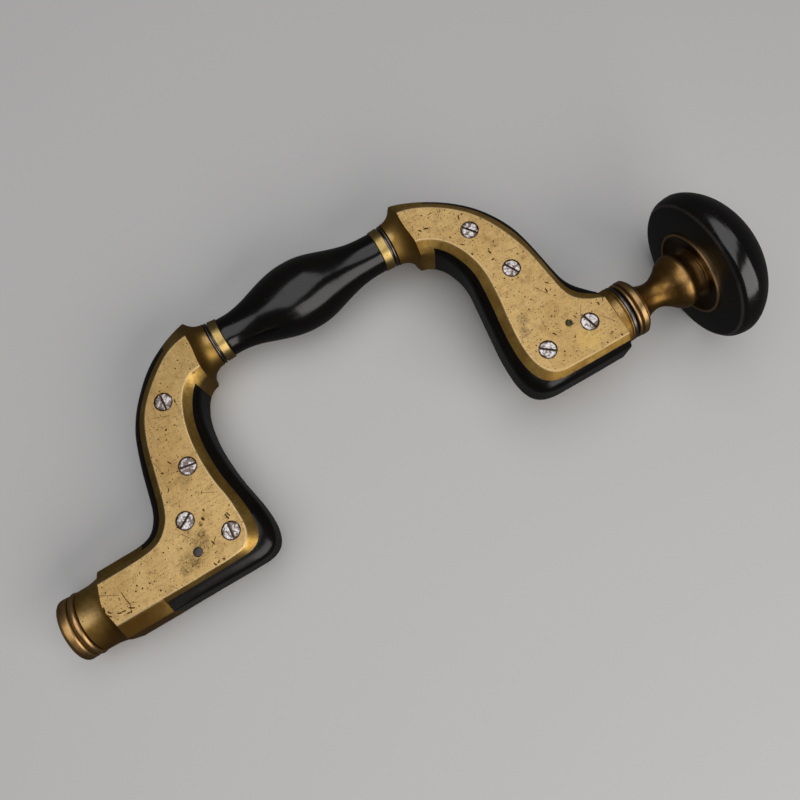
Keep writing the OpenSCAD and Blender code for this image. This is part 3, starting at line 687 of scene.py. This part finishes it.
# ------------------------------------------------------------------ materials
class Nodes:
    """A short way to write node trees."""

    def __init__(self, name):
        self.m = bpy.data.materials.new(name)
        self.m.use_nodes = True
        self.t = self.m.node_tree
        self.t.nodes.clear()
        self.out = self.t.nodes.new("ShaderNodeOutputMaterial")
        self.bsdf = self.t.nodes.new("ShaderNodeBsdfPrincipled")
        self.t.links.new(self.bsdf.outputs[0], self.out.inputs[0])
        self.tc = self.t.nodes.new("ShaderNodeTexCoord")
        self.P = self.tc.outputs["Object"]
        self.N = self.tc.outputs["Normal"]

    def put(self, sock, val):
        if hasattr(val, "is_output"):
            self.t.links.new(val, sock)
        else:
            if sock.type == "RGBA" and len(val) == 3:
                val = (*val, 1)
            sock.default_value = val

    def node(self, kind, **kw):
        n = self.t.nodes.new(kind)
        for k, v in kw.items():
            setattr(n, k, v)
        return n

    def math(self, op, a, b=0.0, c=0.0, clamp=False):
        n = self.node("ShaderNodeMath", operation=op, use_clamp=clamp)
        self.put(n.inputs[0], a)
        self.put(n.inputs[1], b)
        if op in ("MULTIPLY_ADD", "SMOOTH_MIN", "WRAP"):
            self.put(n.inputs[2], c)
        return n.outputs[0]

    def add(self, a, b): return self.math("ADD", a, b)
    def mul(self, a, b): return self.math("MULTIPLY", a, b)
    def sub(self, a, b): return self.math("SUBTRACT", a, b)

    def vmath(self, op, a, b=(0, 0, 0), scale=None):
        n = self.node("ShaderNodeVectorMath", operation=op)
        self.put(n.inputs[0], a)
        if op not in ("LENGTH", "NORMALIZE", "SCALE", "ABSOLUTE"):
            self.put(n.inputs[1], b)
        if op == "SCALE":
            self.put(n.inputs[3], scale)
        return n.outputs["Value"] if op in ("LENGTH", "DOT_PRODUCT", "DISTANCE") else n.outputs[0]

    def step(self, v, lo, hi, a=0.0, b=1.0):
        """Smooth change from a to b as v goes from lo to hi."""
        n = self.node("ShaderNodeMapRange", interpolation_type="SMOOTHSTEP")
        self.put(n.inputs["Value"], v)
        self.put(n.inputs["From Min"], lo)
        self.put(n.inputs["From Max"], hi)
        self.put(n.inputs["To Min"], a)
        self.put(n.inputs["To Max"], b)
        return n.outputs[0]

    def mix(self, f, a, b):
        n = self.node("ShaderNodeMix", data_type="RGBA")
        self.put(n.inputs[0], f)
        self.put(n.inputs[6], a)
        self.put(n.inputs[7], b)
        return n.outputs[2]

    def lerp(self, f, a, b):
        n = self.node("ShaderNodeMix", data_type="FLOAT")
        self.put(n.inputs[0], f)
        self.put(n.inputs[2], a)
        self.put(n.inputs[3], b)
        return n.outputs[0]

    def map(self, scale=(1, 1, 1), rot=(0, 0, 0), loc=(0, 0, 0), P=None):
        n = self.node("ShaderNodeMapping")
        self.put(n.inputs["Vector"], P if P is not None else self.P)
        n.inputs["Location"].default_value = loc
        n.inputs["Rotation"].default_value = rot
        n.inputs["Scale"].default_value = scale
        return n.outputs[0]

    def noise(self, scale, detail=3.0, rough=0.5, P=None, distortion=0.0, kind="FBM"):
        n = self.node("ShaderNodeTexNoise")
        self.put(n.inputs["Vector"], P if P is not None else self.P)
        n.inputs["Scale"].default_value = scale
        n.inputs["Detail"].default_value = detail
        n.inputs["Roughness"].default_value = rough
        n.inputs["Distortion"].default_value = distortion
        return n.outputs[0]

    def attr(self, name):
        n = self.node("ShaderNodeAttribute", attribute_name=name)
        return n.outputs["Fac"]

    def xyz(self, v):
        n = self.node("ShaderNodeSeparateXYZ")
        self.put(n.inputs[0], v)
        return n.outputs

    def comb(self, x, y, z):
        n = self.node("ShaderNodeCombineXYZ")
        for i, v in enumerate((x, y, z)):
            self.put(n.inputs[i], v)
        return n.outputs[0]

    def marks(self, cell, length, width, keep, seed=0.0, ragged=0.12, turn=3.14159, base=0.0, P=None):
        """Scattered nicks in the X-Y plane: cell, length and width in metres. 1 inside a nick."""
        p = P if P is not None else self.P
        p = self.vmath("ADD", p, (seed * 0.137, seed * 0.071, 0))
        x, y, _ = self.xyz(p)
        flat = self.comb(x, y, 0.0)
        warp = self.node("ShaderNodeTexNoise")
        self.put(warp.inputs["Vector"], flat)
        warp.inputs["Scale"].default_value = 0.9 / max(width, 0.0002)
        warp.inputs["Detail"].default_value = 2
        w = self.vmath("SUBTRACT", warp.outputs["Color"], (0.5, 0.5, 0.5))
        w = self.vmath("SCALE", w, scale=ragged * 8 * width)
        q = self.vmath("ADD", flat, w)
        v = self.node("ShaderNodeTexVoronoi", voronoi_dimensions="2D")
        self.put(v.inputs["Vector"], q)
        v.inputs["Scale"].default_value = 1 / cell
        v.inputs["Randomness"].default_value = 1.0
        d = self.vmath("SUBTRACT", q, v.outputs["Position"])
        cr, cg, cb = self.xyz(v.outputs["Color"])
        ang = self.math("MULTIPLY_ADD", cr, turn, base)
        rot = self.node("ShaderNodeVectorRotate", rotation_type="Z_AXIS")
        self.put(rot.inputs["Vector"], d)
        self.put(rot.inputs["Angle"], ang)
        size = self.math("MULTIPLY_ADD", cb, 1.1, 0.45)
        e = self.vmath("DIVIDE", rot.outputs[0], (length / 2, width / 2, 1))
        r = self.math("DIVIDE", self.vmath("LENGTH", e), size)
        inside = self.step(r, 0.55, 1.05, 1.0, 0.0)
        on = self.math("LESS_THAN", cg, keep)
        return self.mul(inside, on)

    def spot(self, c, radius, soft, wobble=0.3, scale=700):
        """1 near the point c (mm), fading out over soft (mm), with an uneven edge."""
        d = self.vmath("DISTANCE", self.P, tuple(v * MM for v in c))
        nz = self.noise(scale, 3, 0.6)
        d = self.add(d, self.mul(self.sub(nz, 0.5), wobble * radius * 2 * MM))
        return self.step(d, (radius - soft / 2) * MM, (radius + soft / 2) * MM, 1.0, 0.0)

    def nicks(self, strokes):
        """1 inside any of the strokes (x0, y0, x1, y1, width in mm) on the front cheek."""
        x, y, z = self.xyz(self.P)
        w = self.node("ShaderNodeTexNoise")
        self.put(w.inputs["Vector"], self.P)
        w.inputs["Scale"].default_value = 1300
        w.inputs["Detail"].default_value = 2
        off = self.vmath("SCALE", self.vmath("SUBTRACT", w.outputs["Color"], (0.5, 0.5, 0.5)), scale=0.00045)
        q = self.vmath("ADD", self.comb(x, y, 0.0), self.vmath("MULTIPLY", off, (1, 1, 0)))
        best = None
        for x0, y0, x1, y1, wd in strokes:
            bx, by = (x1 - x0) * MM, (y1 - y0) * MM
            pa = self.vmath("SUBTRACT", q, (x0 * MM, y0 * MM, 0))
            dt = self.vmath("DOT_PRODUCT", pa, (bx, by, 0))
            h = self.math("MULTIPLY", dt, 1 / (bx * bx + by * by), clamp=True)
            d = self.vmath("LENGTH", self.vmath("SUBTRACT", pa, self.vmath("SCALE", (bx, by, 0), scale=h)))
            m = self.math("DIVIDE", d, wd * MM)
            best = m if best is None else self.math("MINIMUM", best, m)
        return self.mul(self.step(best, 0.30, 0.62, 1.0, 0.0), self.math("GREATER_THAN", z, 0.010))

    def bump(self, height, strength=0.5, distance=0.0001, normal=None):
        n = self.node("ShaderNodeBump")
        n.inputs["Strength"].default_value = strength
        n.inputs["Distance"].default_value = distance
        self.put(n.inputs["Height"], height)
        if normal is not None:
            self.put(n.inputs["Normal"], normal)
        return n.outputs[0]

    def finish(self, color, rough, metal=0.0, normal=None, **kw):
        b = self.bsdf
        self.put(b.inputs["Base Color"], color)
        self.put(b.inputs["Roughness"], rough)
        self.put(b.inputs["Metallic"], metal)
        if normal is not None:
            self.put(b.inputs["Normal"], normal)
        for k, v in kw.items():
            b.inputs[k].default_value = v
        return self.m


def brass_cheeks(name, stains, seed, strokes, cove_tone=1.0):
    n = Nodes(name)
    nx, ny, nz = n.xyz(n.N)
    flat = n.step(n.math("ABSOLUTE", nz), 0.93, 0.995)
    big = n.noise(38, 3, 0.6)
    cloud = n.noise(95, 4, 0.65, distortion=0.5)
    mid = n.noise(300, 4, 0.6)
    fine = n.noise(1500, 4, 0.65)
    wear, dirt_and_shade = n.attr("wear"), n.attr("dirt_and_shade")
    # colour: cleaned faces gone uneven, browner filed chamfers and sides
    face = n.mix(n.step(big, 0.32, 0.68), (0.60, 0.385, 0.145), (0.68, 0.46, 0.19))
    face = n.mix(n.mul(n.step(cloud, 0.46, 0.70), 0.45), face, (0.47, 0.285, 0.10))
    face = n.mix(n.mul(n.step(mid, 0.50, 0.72), 0.45), face, (0.38, 0.23, 0.085))
    face = n.mix(n.mul(n.step(fine, 0.50, 0.68), 0.40), face, (0.27, 0.16, 0.058))
    side = n.mix(n.step(cloud, 0.35, 0.65), (0.58, 0.345, 0.085), (0.80, 0.525, 0.150))
    side = n.mix(n.mul(n.step(mid, 0.45, 0.75), 0.55), side, (0.27, 0.15, 0.04))
    px, py, pz = n.xyz(n.P)
    # painted shade: chamfers and sides at the nose end, on the -Y side, darkened to deep brown
    nose_end_painted_shade = n.mul(n.step(n.add(px, n.mul(n.sub(big, 0.5), 0.02)), 0.040, 0.064, 1.0, 0.0), n.step(py, -0.012, 0.004, 1.0, 0.0))
    side = n.mix(n.mul(nose_end_painted_shade, 0.9), side, (0.13, 0.060, 0.011))
    side = n.mix(n.mul(n.step(px, 0.2752, 0.2776), n.step(cloud, 0.30, 0.60, 0.95, 0.6)), side, (0.27, 0.150, 0.040))
    cove = n.mul(n.mul(n.step(px, 0.102, 0.110), n.step(px, 0.2190, 0.2230, 1.0, 0.0)), n.step(py, 0.060, 0.068))
    side = n.mix(n.mul(cove, n.step(big, 0.30, 0.70, 1.0, 0.6)), side, (0.58 * cove_tone, 0.345 * cove_tone, 0.085 * cove_tone))
    col = n.mix(flat, side, face)
    col = n.mix(n.mul(dirt_and_shade, n.mul(n.sub(1.0, flat), 0.35)), col, (0.18, 0.098, 0.028))
    col = n.mix(n.mul(wear, n.math("MULTIPLY_ADD", mid, 0.9, 0.25)), col, (0.82, 0.62, 0.34))
    # nicks, pits and scratches
    pits = n.marks(0.0030, 0.00056, 0.00044, 0.34, seed + 1, ragged=0.22)
    pits2 = n.marks(0.0078, 0.0010, 0.00070, 0.20, seed + 2, ragged=0.25)
    pin_ = n.marks(0.0017, 0.00036, 0.00032, 0.42, seed + 6, ragged=0.2)
    dings = n.marks(0.0110, 0.0019, 0.00042, 0.40, seed + 3, turn=2.4, base=0.2, ragged=0.2)
    lines = n.marks(0.019, 0.0085, 0.00024, 0.55, seed + 4, ragged=0.02, turn=0.9, base=0.2)
    lines2 = n.marks(0.015, 0.006, 0.00020, 0.6, seed + 5, ragged=0.02)
    holes = n.math("MAXIMUM", n.math("MAXIMUM", pits, n.mul(pits2, 0.9)), n.math("MAXIMUM", dings, n.mul(pin_, 0.7)))
    holes = n.mul(holes, n.math("MULTIPLY_ADD", flat, 0.75, 0.25))
    holes = n.math("MAXIMUM", holes, n.mul(n.nicks(strokes), flat))
    fine_lines = n.mul(n.math("MAXIMUM", lines, lines2), flat)
    # brushing left by the file and paper
    br1 = n.noise(60, 4, 0.65, P=n.map((1.0, 34.0, 1.0), (0, 0, 0.55)))
    br2 = n.noise(48, 2, 0.6, P=n.map((30.0, 1.0, 1.0), (0, 0, 0.2)))
    col = n.mix(n.mul(n.step(br1, 0.52, 0.72), n.mul(flat, 0.40)), col, (0.28, 0.18, 0.075))
    col = n.mix(n.mul(n.step(br2, 0.55, 0.75), n.mul(flat, 0.34)), col, (0.74, 0.56, 0.29))
    col = n.mix(n.mul(holes, 0.88), col, (0.055, 0.030, 0.012))
    col = n.mix(n.mul(fine_lines, 0.55), col, (0.18, 0.11, 0.045))
    speck = n.step(n.noise(1100, 4, 0.7), 0.46, 0.58)
    for (c, r, s, w, tint, amount) in stains:
        f = n.mul(n.mul(n.spot(c, r, s, w), amount), n.math("MULTIPLY_ADD", speck, 0.75, 0.45))
        col = n.mix(f, col, tint)
    rough = n.lerp(flat, n.math("MULTIPLY_ADD", mid, 0.22, 0.32 + seed * 0.045), n.math("MULTIPLY_ADD", mid, 0.20, 0.27))
    rough = n.math("MULTIPLY_ADD", n.mul(br1, flat), 0.10, rough)
    rough = n.math("MULTIPLY_ADD", n.mul(nose_end_painted_shade, n.sub(1.0, flat)), 0.10, rough)
    rough = n.math("MULTIPLY_ADD", holes, 0.3, rough)
    h = n.math("MULTIPLY_ADD", br1, 0.35, n.mul(fine, 0.45))
    h = n.math("MULTIPLY_ADD", br2, 0.20, h)
    h = n.math("MULTIPLY_ADD", mid, 0.7, h)
    h = n.sub(h, n.mul(holes, 2.8))
    h = n.sub(h, n.mul(fine_lines, 0.8))
    nrm = n.bump(h, 0.7, 0.00007)
    nrm = n.bump(n.noise(42, 2, 0.5), 0.4, 0.0006, nrm)
    return n.finish(col, rough, 1.0, nrm)


def brass_turned(name, tone=1.0, rub_and_highlight=None, under=0.0, hue=(1.0, 1.0, 1.0)):
    """Lathe-turned brass: fine rings about the axis, brown patina, rubbed ridges, dirt and painted shade in hollows,
    painted shade on the side facing -Y.
    """
    n = Nodes(name)
    x, y, z = n.xyz(n.P)
    big = n.noise(75, 3, 0.6)
    mid = n.noise(420, 4, 0.6)
    fine = n.noise(1800, 3, 0.6)
    wear, dirt_and_shade = n.attr("wear"), n.attr("dirt_and_shade")
    a = tuple(v * tone * k for v, k in zip((0.47, 0.270, 0.085), hue))
    b = tuple(v * tone for v in (0.28, 0.145, 0.035))
    col = n.mix(n.step(big, 0.35, 0.66), a, b)
    col = n.mix(n.mul(n.step(mid, 0.45, 0.75), 0.45), col, tuple(v * tone for v in (0.16, 0.08, 0.02)))
    patina = n.noise(170, 4, 0.65, distortion=0.4)
    col = n.mix(n.mul(n.step(patina, 0.50, 0.62), 0.65), col, tuple(v * tone for v in (0.20, 0.11, 0.03)))
    # near-black in the profile's hollows: dirt and painted shade
    col = n.mix(n.mul(dirt_and_shade, 0.85), col, (0.035, 0.02, 0.01))
    nx, ny, nz = n.xyz(n.N)
    # painted shade: surfaces facing -Y are darkened to brown, by the amount under
    col = n.mix(n.mul(n.step(n.add(ny, n.mul(n.sub(big, 0.5), 0.5)), -0.80, 0.05, 1.0, 0.0), under), col, (0.17, 0.085, 0.012))
    # ridges: rubbed wear; where a separate bright tone is given, as on the plate, also a painted highlight
    col = n.mix(n.mul(wear, 0.75), col, tuple(v * (rub_and_highlight or tone) * k for v, k in zip((0.70, 0.46, 0.23), hue)))
    specks = n.noise(900, 2, 0.5)
    spk = n.step(specks, 0.68, 0.74)
    col = n.mix(n.mul(spk, 0.6), col, (0.07, 0.04, 0.018))
    rings = n.noise(1.0, 2, 0.5, P=n.comb(n.mul(x, 2600.0), n.mul(y, 12.0), n.mul(z, 12.0)))
    rough = n.math("MULTIPLY_ADD", mid, 0.2, 0.25)
    rough = n.math("MULTIPLY_ADD", dirt_and_shade, 0.25, rough)
    h = n.math("MULTIPLY_ADD", rings, 0.5, n.mul(fine, 0.3))
    h = n.sub(h, n.mul(spk, 1.0))
    nrm = n.bump(h, 0.4, 0.00005)
    nrm = n.bump(n.noise(140, 2, 0.5), 0.25, 0.00018, nrm)
    return n.finish(col, rough, 1.0, nrm)


def ebony(name, gloss=0.14, grey=1.0, marks=1.0, level=0.5, coat=0.2, dish=False):
    """Blackwood, oiled and rubbed: long pores, faint brown grain, fine handling marks."""
    n = Nodes(name)
    x, y, z = n.xyz(n.P)
    grain = n.noise(70, 4, 0.6, P=n.map((0.12, 1, 1)), distortion=0.6)
    pores = n.noise(900, 3, 0.6, P=n.map((0.06, 1, 1)))
    pore = n.step(pores, 0.62, 0.72)
    big = n.noise(60, 3, 0.55)
    col = n.mix(n.step(grain, 0.35, 0.7), (0.0020 * grey, 0.0017 * grey, 0.0016 * grey), (0.0050 * grey, 0.0034 * grey, 0.0027 * grey))
    col = n.mix(n.mul(pore, 0.7), col, (0.001, 0.0009, 0.0008))
    scr = n.noise(520, 2, 0.5, P=n.map((0.10, 1.0, 1.0), (0.3, 0.9, 0.4)))
    scr = n.step(scr, 0.70, 0.735)
    dots = n.node("ShaderNodeTexVoronoi")
    n.put(dots.inputs["Vector"], n.P)
    dots.inputs["Scale"].default_value = 170
    dr, dg, db = n.xyz(dots.outputs["Color"])
    nick = n.mul(n.step(dots.outputs["Distance"], 0.05, 0.11, 1.0, 0.0), n.math("LESS_THAN", dr, 0.22 * marks))
    col = n.mix(n.mul(nick, 0.4), col, (0.06, 0.05, 0.045))
    rough = n.math("MULTIPLY_ADD", big, 0.12, gloss)
    rough = n.math("MULTIPLY_ADD", pore, 0.15, rough)
    rough = n.math("MULTIPLY_ADD", scr, 0.12, rough)
    if dish:       # the knob's hollowed underside is left duller than the rubbed rim
        under = n.mul(n.step(x, 0.3238, 0.3248, 1.0, 0.0), n.step(n.vmath("LENGTH", n.comb(0.0, y, z)), 0.0322, 0.0336, 1.0, 0.0))
        rough = n.lerp(under, rough, 0.42)
        rr = n.vmath("LENGTH", n.comb(0.0, y, z))
        # painted highlight: a thin grey line on the lip between the dish and the rim
        lip_painted_highlight = n.mul(n.mul(n.step(rr, 0.0325, 0.0331), n.step(rr, 0.0335, 0.0342, 1.0, 0.0)), n.step(x, 0.3240, 0.3246, 1.0, 0.0))
        col = n.mix(n.mul(lip_painted_highlight, n.step(big, 0.30, 0.60, 0.15, 0.7)), col, (0.045, 0.038, 0.034))
    h = n.sub(n.mul(grain, 0.15), n.mul(pore, 0.22))
    h = n.sub(h, n.mul(scr, 0.25))
    h = n.sub(h, n.mul(nick, 1.6))
    nrm = n.bump(h, 0.35, 0.00006)
    nrm = n.bump(n.noise(110, 2, 0.5, P=n.map((0.45, 1, 1))), 0.4, 0.00022, nrm)
    return n.finish(col, rough, 0.0, nrm, **{"Specular IOR Level": level, "Coat Weight": coat, "Coat Roughness": 0.14})


def steel(name, base=(0.42, 0.41, 0.40), rough0=0.3, dark=(0.06, 0.045, 0.035), spots=0.5):
    n = Nodes(name)
    x, y, z = n.xyz(n.P)
    mid = n.noise(380, 4, 0.65)
    fine = n.noise(1600, 4, 0.6)
    rings = n.noise(1.0, 2, 0.5, P=n.comb(n.mul(x, 3000.0), n.mul(y, 20.0), n.mul(z, 20.0)))
    col = n.mix(n.mul(n.step(mid, 0.45, 0.7), spots), base, dark)
    col = n.mix(n.mul(n.step(fine, 0.55, 0.75), 0.3), col, tuple(v * 0.5 for v in base))
    rough = n.math("MULTIPLY_ADD", mid, 0.3, rough0 - 0.1)
    nrm = n.bump(n.math("MULTIPLY_ADD", rings, 0.4, n.mul(fine, 0.5)), 0.4, 0.00004)
    return n.finish(col, rough, 1.0, nrm)


def screw_steel(name, seed=0.0):
    n = Nodes(name)
    rad, depth = n.attr("rad"), n.attr("depth")
    mid = n.noise(620, 4, 0.65, P=n.map((1, 1, 1), loc=(seed, seed, 0)))
    fine = n.noise(2400, 3, 0.6)
    nx, ny, nz = n.xyz(n.N)
    col = n.mix(n.step(fine, 0.4, 0.7), (0.90, 0.86, 0.84), (0.50, 0.445, 0.425))
    rust = n.step(mid, 0.455, 0.55)
    col = n.mix(n.mul(rust, 0.85), col, (0.16, 0.10, 0.08))
    rim_ = n.step(n.add(rad, n.mul(n.sub(mid, 0.5), 0.45)), 0.74, 0.95)
    col = n.mix(n.mul(rim_, 0.9), col, (0.060, 0.036, 0.026))
    col = n.mix(n.mul(n.step(depth, 0.25, 0.7), 0.85), col, (0.10, 0.068, 0.052))
    scr = n.marks(0.0016, 0.0022, 0.00012, 0.6, 7 + seed, ragged=0.03)
    col = n.mix(n.mul(scr, 0.6), col, (0.16, 0.12, 0.10))
    rough = n.math("MULTIPLY_ADD", mid, 0.3, 0.24)
    h = n.sub(n.mul(mid, 0.8), n.mul(scr, 0.8))
    h = n.math("MULTIPLY_ADD", fine, 0.3, h)
    nrm = n.bump(h, 0.6, 0.00007)
    return n.finish(col, rough, 1.0, nrm)


OLIVE = (0.035, 0.040, 0.020)
BROWN = (0.16, 0.10, 0.04)
m_low = brass_cheeks("worn brass lower arm", [
    ((70.4, 0, H), 5.5, 6.0, .9, BROWN, .35),
    ((73.5, 3.6, H), 3.6, 2.4, 1.0, (0.11, 0.075, 0.03), .45),
    ((64.5, -1.5, H), 3.4, 3.0, 1.1, (0.14, 0.09, 0.035), .4),
    ((67.8, -3.8, H), 2.2, 1.6, 1.2, (0.12, 0.075, 0.025), .6),
    ((61.5, -4.6, H), 1.5, 1.0, 1.4, (0.13, 0.08, 0.028), .6),
    ((75.5, 5.8, H), 1.6, 1.2, 1.3, (0.12, 0.075, 0.025), .6),
    ((79.5, 30.5, H), 3.0, 3.0, .9, (0.18, 0.12, 0.06), .4),
    ((104.5, 70.3, H), 1.4, 1.0, .8, (0.10, 0.05, 0.02), .7),
    ((76.6, 9.8, H), 1.0, .6, .8, (0.05, 0.03, 0.015), .8)], 0.0, [
    (34.9, 1.7, 35.3, -1.8, .28), (35.3, -1.8, 36.0, -4.7, .32), (36.0, -4.7, 35.2, -7.9, .26), (29.9, -5.3, 31.2, -5.9, .55),
    (32.0, -5.8, 33.2, -6.0, .5), (35.0, -5.7, 37.0, -6.9, .5), (33.6, -7.5, 35.3, -7.6, .5), (25.6, -0.3, 25.5, -2.0, .55),
    (26.5, -2.8, 27.3, -3.8, .55), (25.5, -3.8, 26.9, -5.2, .5), (41.8, 0.8, 41.8, 0.6, .62), (43.3, -1.4, 43.3, -1.6, .56),
    (49.1, -1.4, 49.2, -1.5, .56), (49.8, -6.0, 49.7, -6.3, .6), (78.3, 11.8, 78.6, 10.9, .9), (87.6, 8.1, 88.0, 6.0, .6),
    (76.6, -1.1, 79.8, 1.9, .24), (74.3, -7.7, 74.8, -8.7, .5)], 0.62)
m_up = brass_cheeks("worn brass upper arm", [
    ((257.1, 5.1, H), 1.7, .6, .7, OLIVE, 1.9),
    ((238.6, 11.2, H), 2.2, 1.6, 1.1, (0.12, 0.085, 0.055), .6),
    ((240.5, 16.5, H), 2.6, 2.2, 1.1, (0.16, 0.11, 0.06), .45),
    ((261.0, -5.0, H), 5.0, 5.0, .8, (0.78, 0.52, 0.10), .35)], 3.0, [
    (244.9, 51.9, 245.1, 50.8, .65), (256.8, 23.7, 256.8, 22.3, .6), (273.0, 6.7, 272.8, 5.5, .6), (225.5, 76.3, 227.0, 75.9, .65),
    (223.0, 76.9, 223.7, 76.3, .6), (233.5, 66.8, 233.5, 66.6, .7), (237.8, 54.8, 237.8, 54.6, .8), (244.0, 47.6, 245.0, 47.7, .5),
    (230.5, 81.3, 232.2, 81.4, .34)], 0.58)
# under= sets the painted shade on the side facing -Y: light on the neck, strong on the ring
m_neck = brass_turned("turned brass neck", 1.05, under=0.25)
m_ring = brass_turned("turned brass ring", 1.40, under=0.8)
m_fer = brass_turned("turned brass ferrule", 0.92, hue=(1.0, 1.10, 0.85))
# the plate is painted dark as painted shade under the knob; its rim takes a bright tone, rubbed wear and a painted
# highlight
m_plate = brass_turned("turned brass plate", 0.24, rub_and_highlight=1.1)
m_ebt = ebony("polished ebony", 0.13)
m_ebk = ebony("polished ebony knob", 0.13, level=0.8, coat=0.0, dish=True)
m_ebf = ebony("oiled ebony infill", 0.19, grey=1.0, level=0.45, coat=0.0)
m_screw = screw_steel("slotted screw steel")
m_wash = steel("polished washer steel", (0.24, 0.22, 0.21), 0.30, (0.04, 0.03, 0.025), 0.6)
m_blue = steel("blued ring steel", (0.20, 0.185, 0.18), 0.28, (0.035, 0.028, 0.026), 0.6)
m_tool = steel("spindle steel", (0.36, 0.35, 0.34), 0.34, (0.09, 0.07, 0.05), 0.6)
m_dark = steel("dark pin steel", (0.10, 0.09, 0.085), 0.42, (0.035, 0.028, 0.024), 0.6)


def dress(ob, mat, body, nodes):
    ob.location.x = -MOUTH * MM
    ob.data.materials.clear()
    ob.data.materials.append(mat)
    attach(ob, body)
    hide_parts(*nodes)


dress(low_cast, m_low, "frame", ["lower_frame"])
dress(up_cast, m_up, "frame", ["upper_frame"])
dress(low_wood, m_ebf, "frame", ["lower_infill"])
dress(up_wood, m_ebf, "frame", ["upper_infill"])
dress(low_sf, m_screw, "frame", ["lower_screws_front"])
dress(low_sb, m_screw, "frame", ["lower_screws_back"])
dress(up_sf, m_screw, "frame", ["upper_screws_front"])
dress(up_sb, m_screw, "frame", ["upper_screws_back"])
dress(pin, m_dark, "frame", ["catch_pin"])
dress(ring, m_ring, "ring", ["chuck_ring"])
dress(grip, m_ebt, "grip", ["grip"])
dress(fer_lo, m_fer, "grip", ["grip_ferrule_lower"])
dress(fer_up, m_fer, "grip", ["grip_ferrule_upper"])
dress(wash_lo, m_wash, "frame", ["grip_washer_lower"])
dress(wash_up, m_wash, "frame", ["grip_washer_upper"])
dress(head_ring, m_blue, "frame", ["head_washer"])
dress(head_neck, m_neck, "head", ["head_neck"])
dress(head_plate, m_plate, "head", ["head_plate"])
dress(knob, m_ebk, "head", ["head_knob"])
for name, mat in (("ring_stop_pin", m_dark), ("catch_lever", m_tool), ("catch_spring", m_blue),
                  ("grip_spindle", m_tool), ("head_spindle", m_tool), ("head_nut", m_tool)):
    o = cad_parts[name]
    o.data.materials.clear()
    o.data.materials.append(mat)

# ------------------------------------------------------------------ stage
UP = Vector((0.064685, -0.056716, 0.996293)).normalized()
REST = -14.75 * MM


def floor_object():
    zx = Vector((1, 0, 0))
    zx = (zx - UP * zx.dot(UP)).normalized()
    zy = UP.cross(zx)
    c = UP * REST + zx * 0.17 + zy * 0.03
    s = 3.2
    V, F = [], []
    n = 24
    for i in range(n + 1):
        for j in range(n + 1):
            p = c + zx * (s * (i / n - .5) * 2) + zy * (s * (j / n - .5) * 2)
            V.append(tuple(p))
    for i in range(n):
        for j in range(n):
            a = i * (n + 1) + j
            F.append((a, a + n + 1, a + n + 2, a + 1))
    me = bpy.data.meshes.new("floor")
    me.from_pydata(V, [], F)
    ob = bpy.data.objects.new("floor", me)
    bpy.context.scene.collection.objects.link(ob)
    n_ = Nodes("pale matt floor")
    sp = n_.noise(900, 3, 0.6)
    col = n_.mix(n_.mul(sp, 0.25), (0.74, 0.735, 0.73), (0.69, 0.685, 0.68))
    n_.finish(col, 0.55, 0.0, n_.bump(sp, 0.1, 0.0001))
    ob.data.materials.append(n_.m)
    ob.visible_glossy = False      # gloss on the tool mirrors the studio's dim walls, not the floor
    return ob


floor_object()


def softbox(name, toward, dist, w, h, radiance, color, aim=(165, 30, 0)):
    li = bpy.data.lights.new(name, "AREA")
    li.shape = "RECTANGLE"
    li.size, li.size_y = w, h
    li.energy = radiance * math.pi * w * h
    li.color = color
    ob = bpy.data.objects.new(name, li)
    bpy.context.scene.collection.objects.link(ob)
    a = Vector([v * MM for v in aim])
    d = Vector(toward).normalized()
    ob.location = a + d * dist
    ob.rotation_euler = (-d).to_track_quat("-Z", "Y").to_euler()
    ob.visible_camera = False
    return ob


softbox("softbox_top", (-0.03, 0.05, 1.0), 1.15, 1.7, 1.15, 1.15, (0.98, 0.985, 1.0))
softbox("softbox_side", (0.30, -0.86, 0.47), 1.2, 1.35, 0.9, 2.0, (1.0, 0.965, 0.93))

world = bpy.data.worlds.new("studio")
bpy.context.scene.world = world
world.use_nodes = True
bg = world.node_tree.nodes["Background"]
bg.inputs[0].default_value = (1.0, 0.98, 0.96, 1)
bg.inputs[1].default_value = 0.05

vs = bpy.context.scene.view_settings
vs.view_transform = "Standard"
vs.look = "None"

# ------------------------------------------------------------------ camera
R0 = Vector((0.8636, -0.5017, -0.0497)).normalized()
R2 = Vector((0.0703, 0.2174, -0.9735)).normalized()
R0 = (R0 - R2 * R0.dot(R2)).normalized()
R1 = R2.cross(R0)
cam_data = bpy.data.cameras.new("camera")
cam_data.sensor_width = 36
cam_data.sensor_fit = "HORIZONTAL"
cam_data.lens = 816.8 / 800 * 36
cam_data.clip_start = 0.01
cam = bpy.data.objects.new("camera", cam_data)
bpy.context.scene.collection.objects.link(cam)
m = Matrix.Identity(4)
for i in range(3):
    m[i][0], m[i][1], m[i][2] = R0[i], -R1[i], -R2[i]
m[0][3], m[1][3], m[2][3] = 0.15136 - MOUTH * MM, -0.06364, 0.3594
cam.matrix_world = m
bpy.context.scene.camera = cam
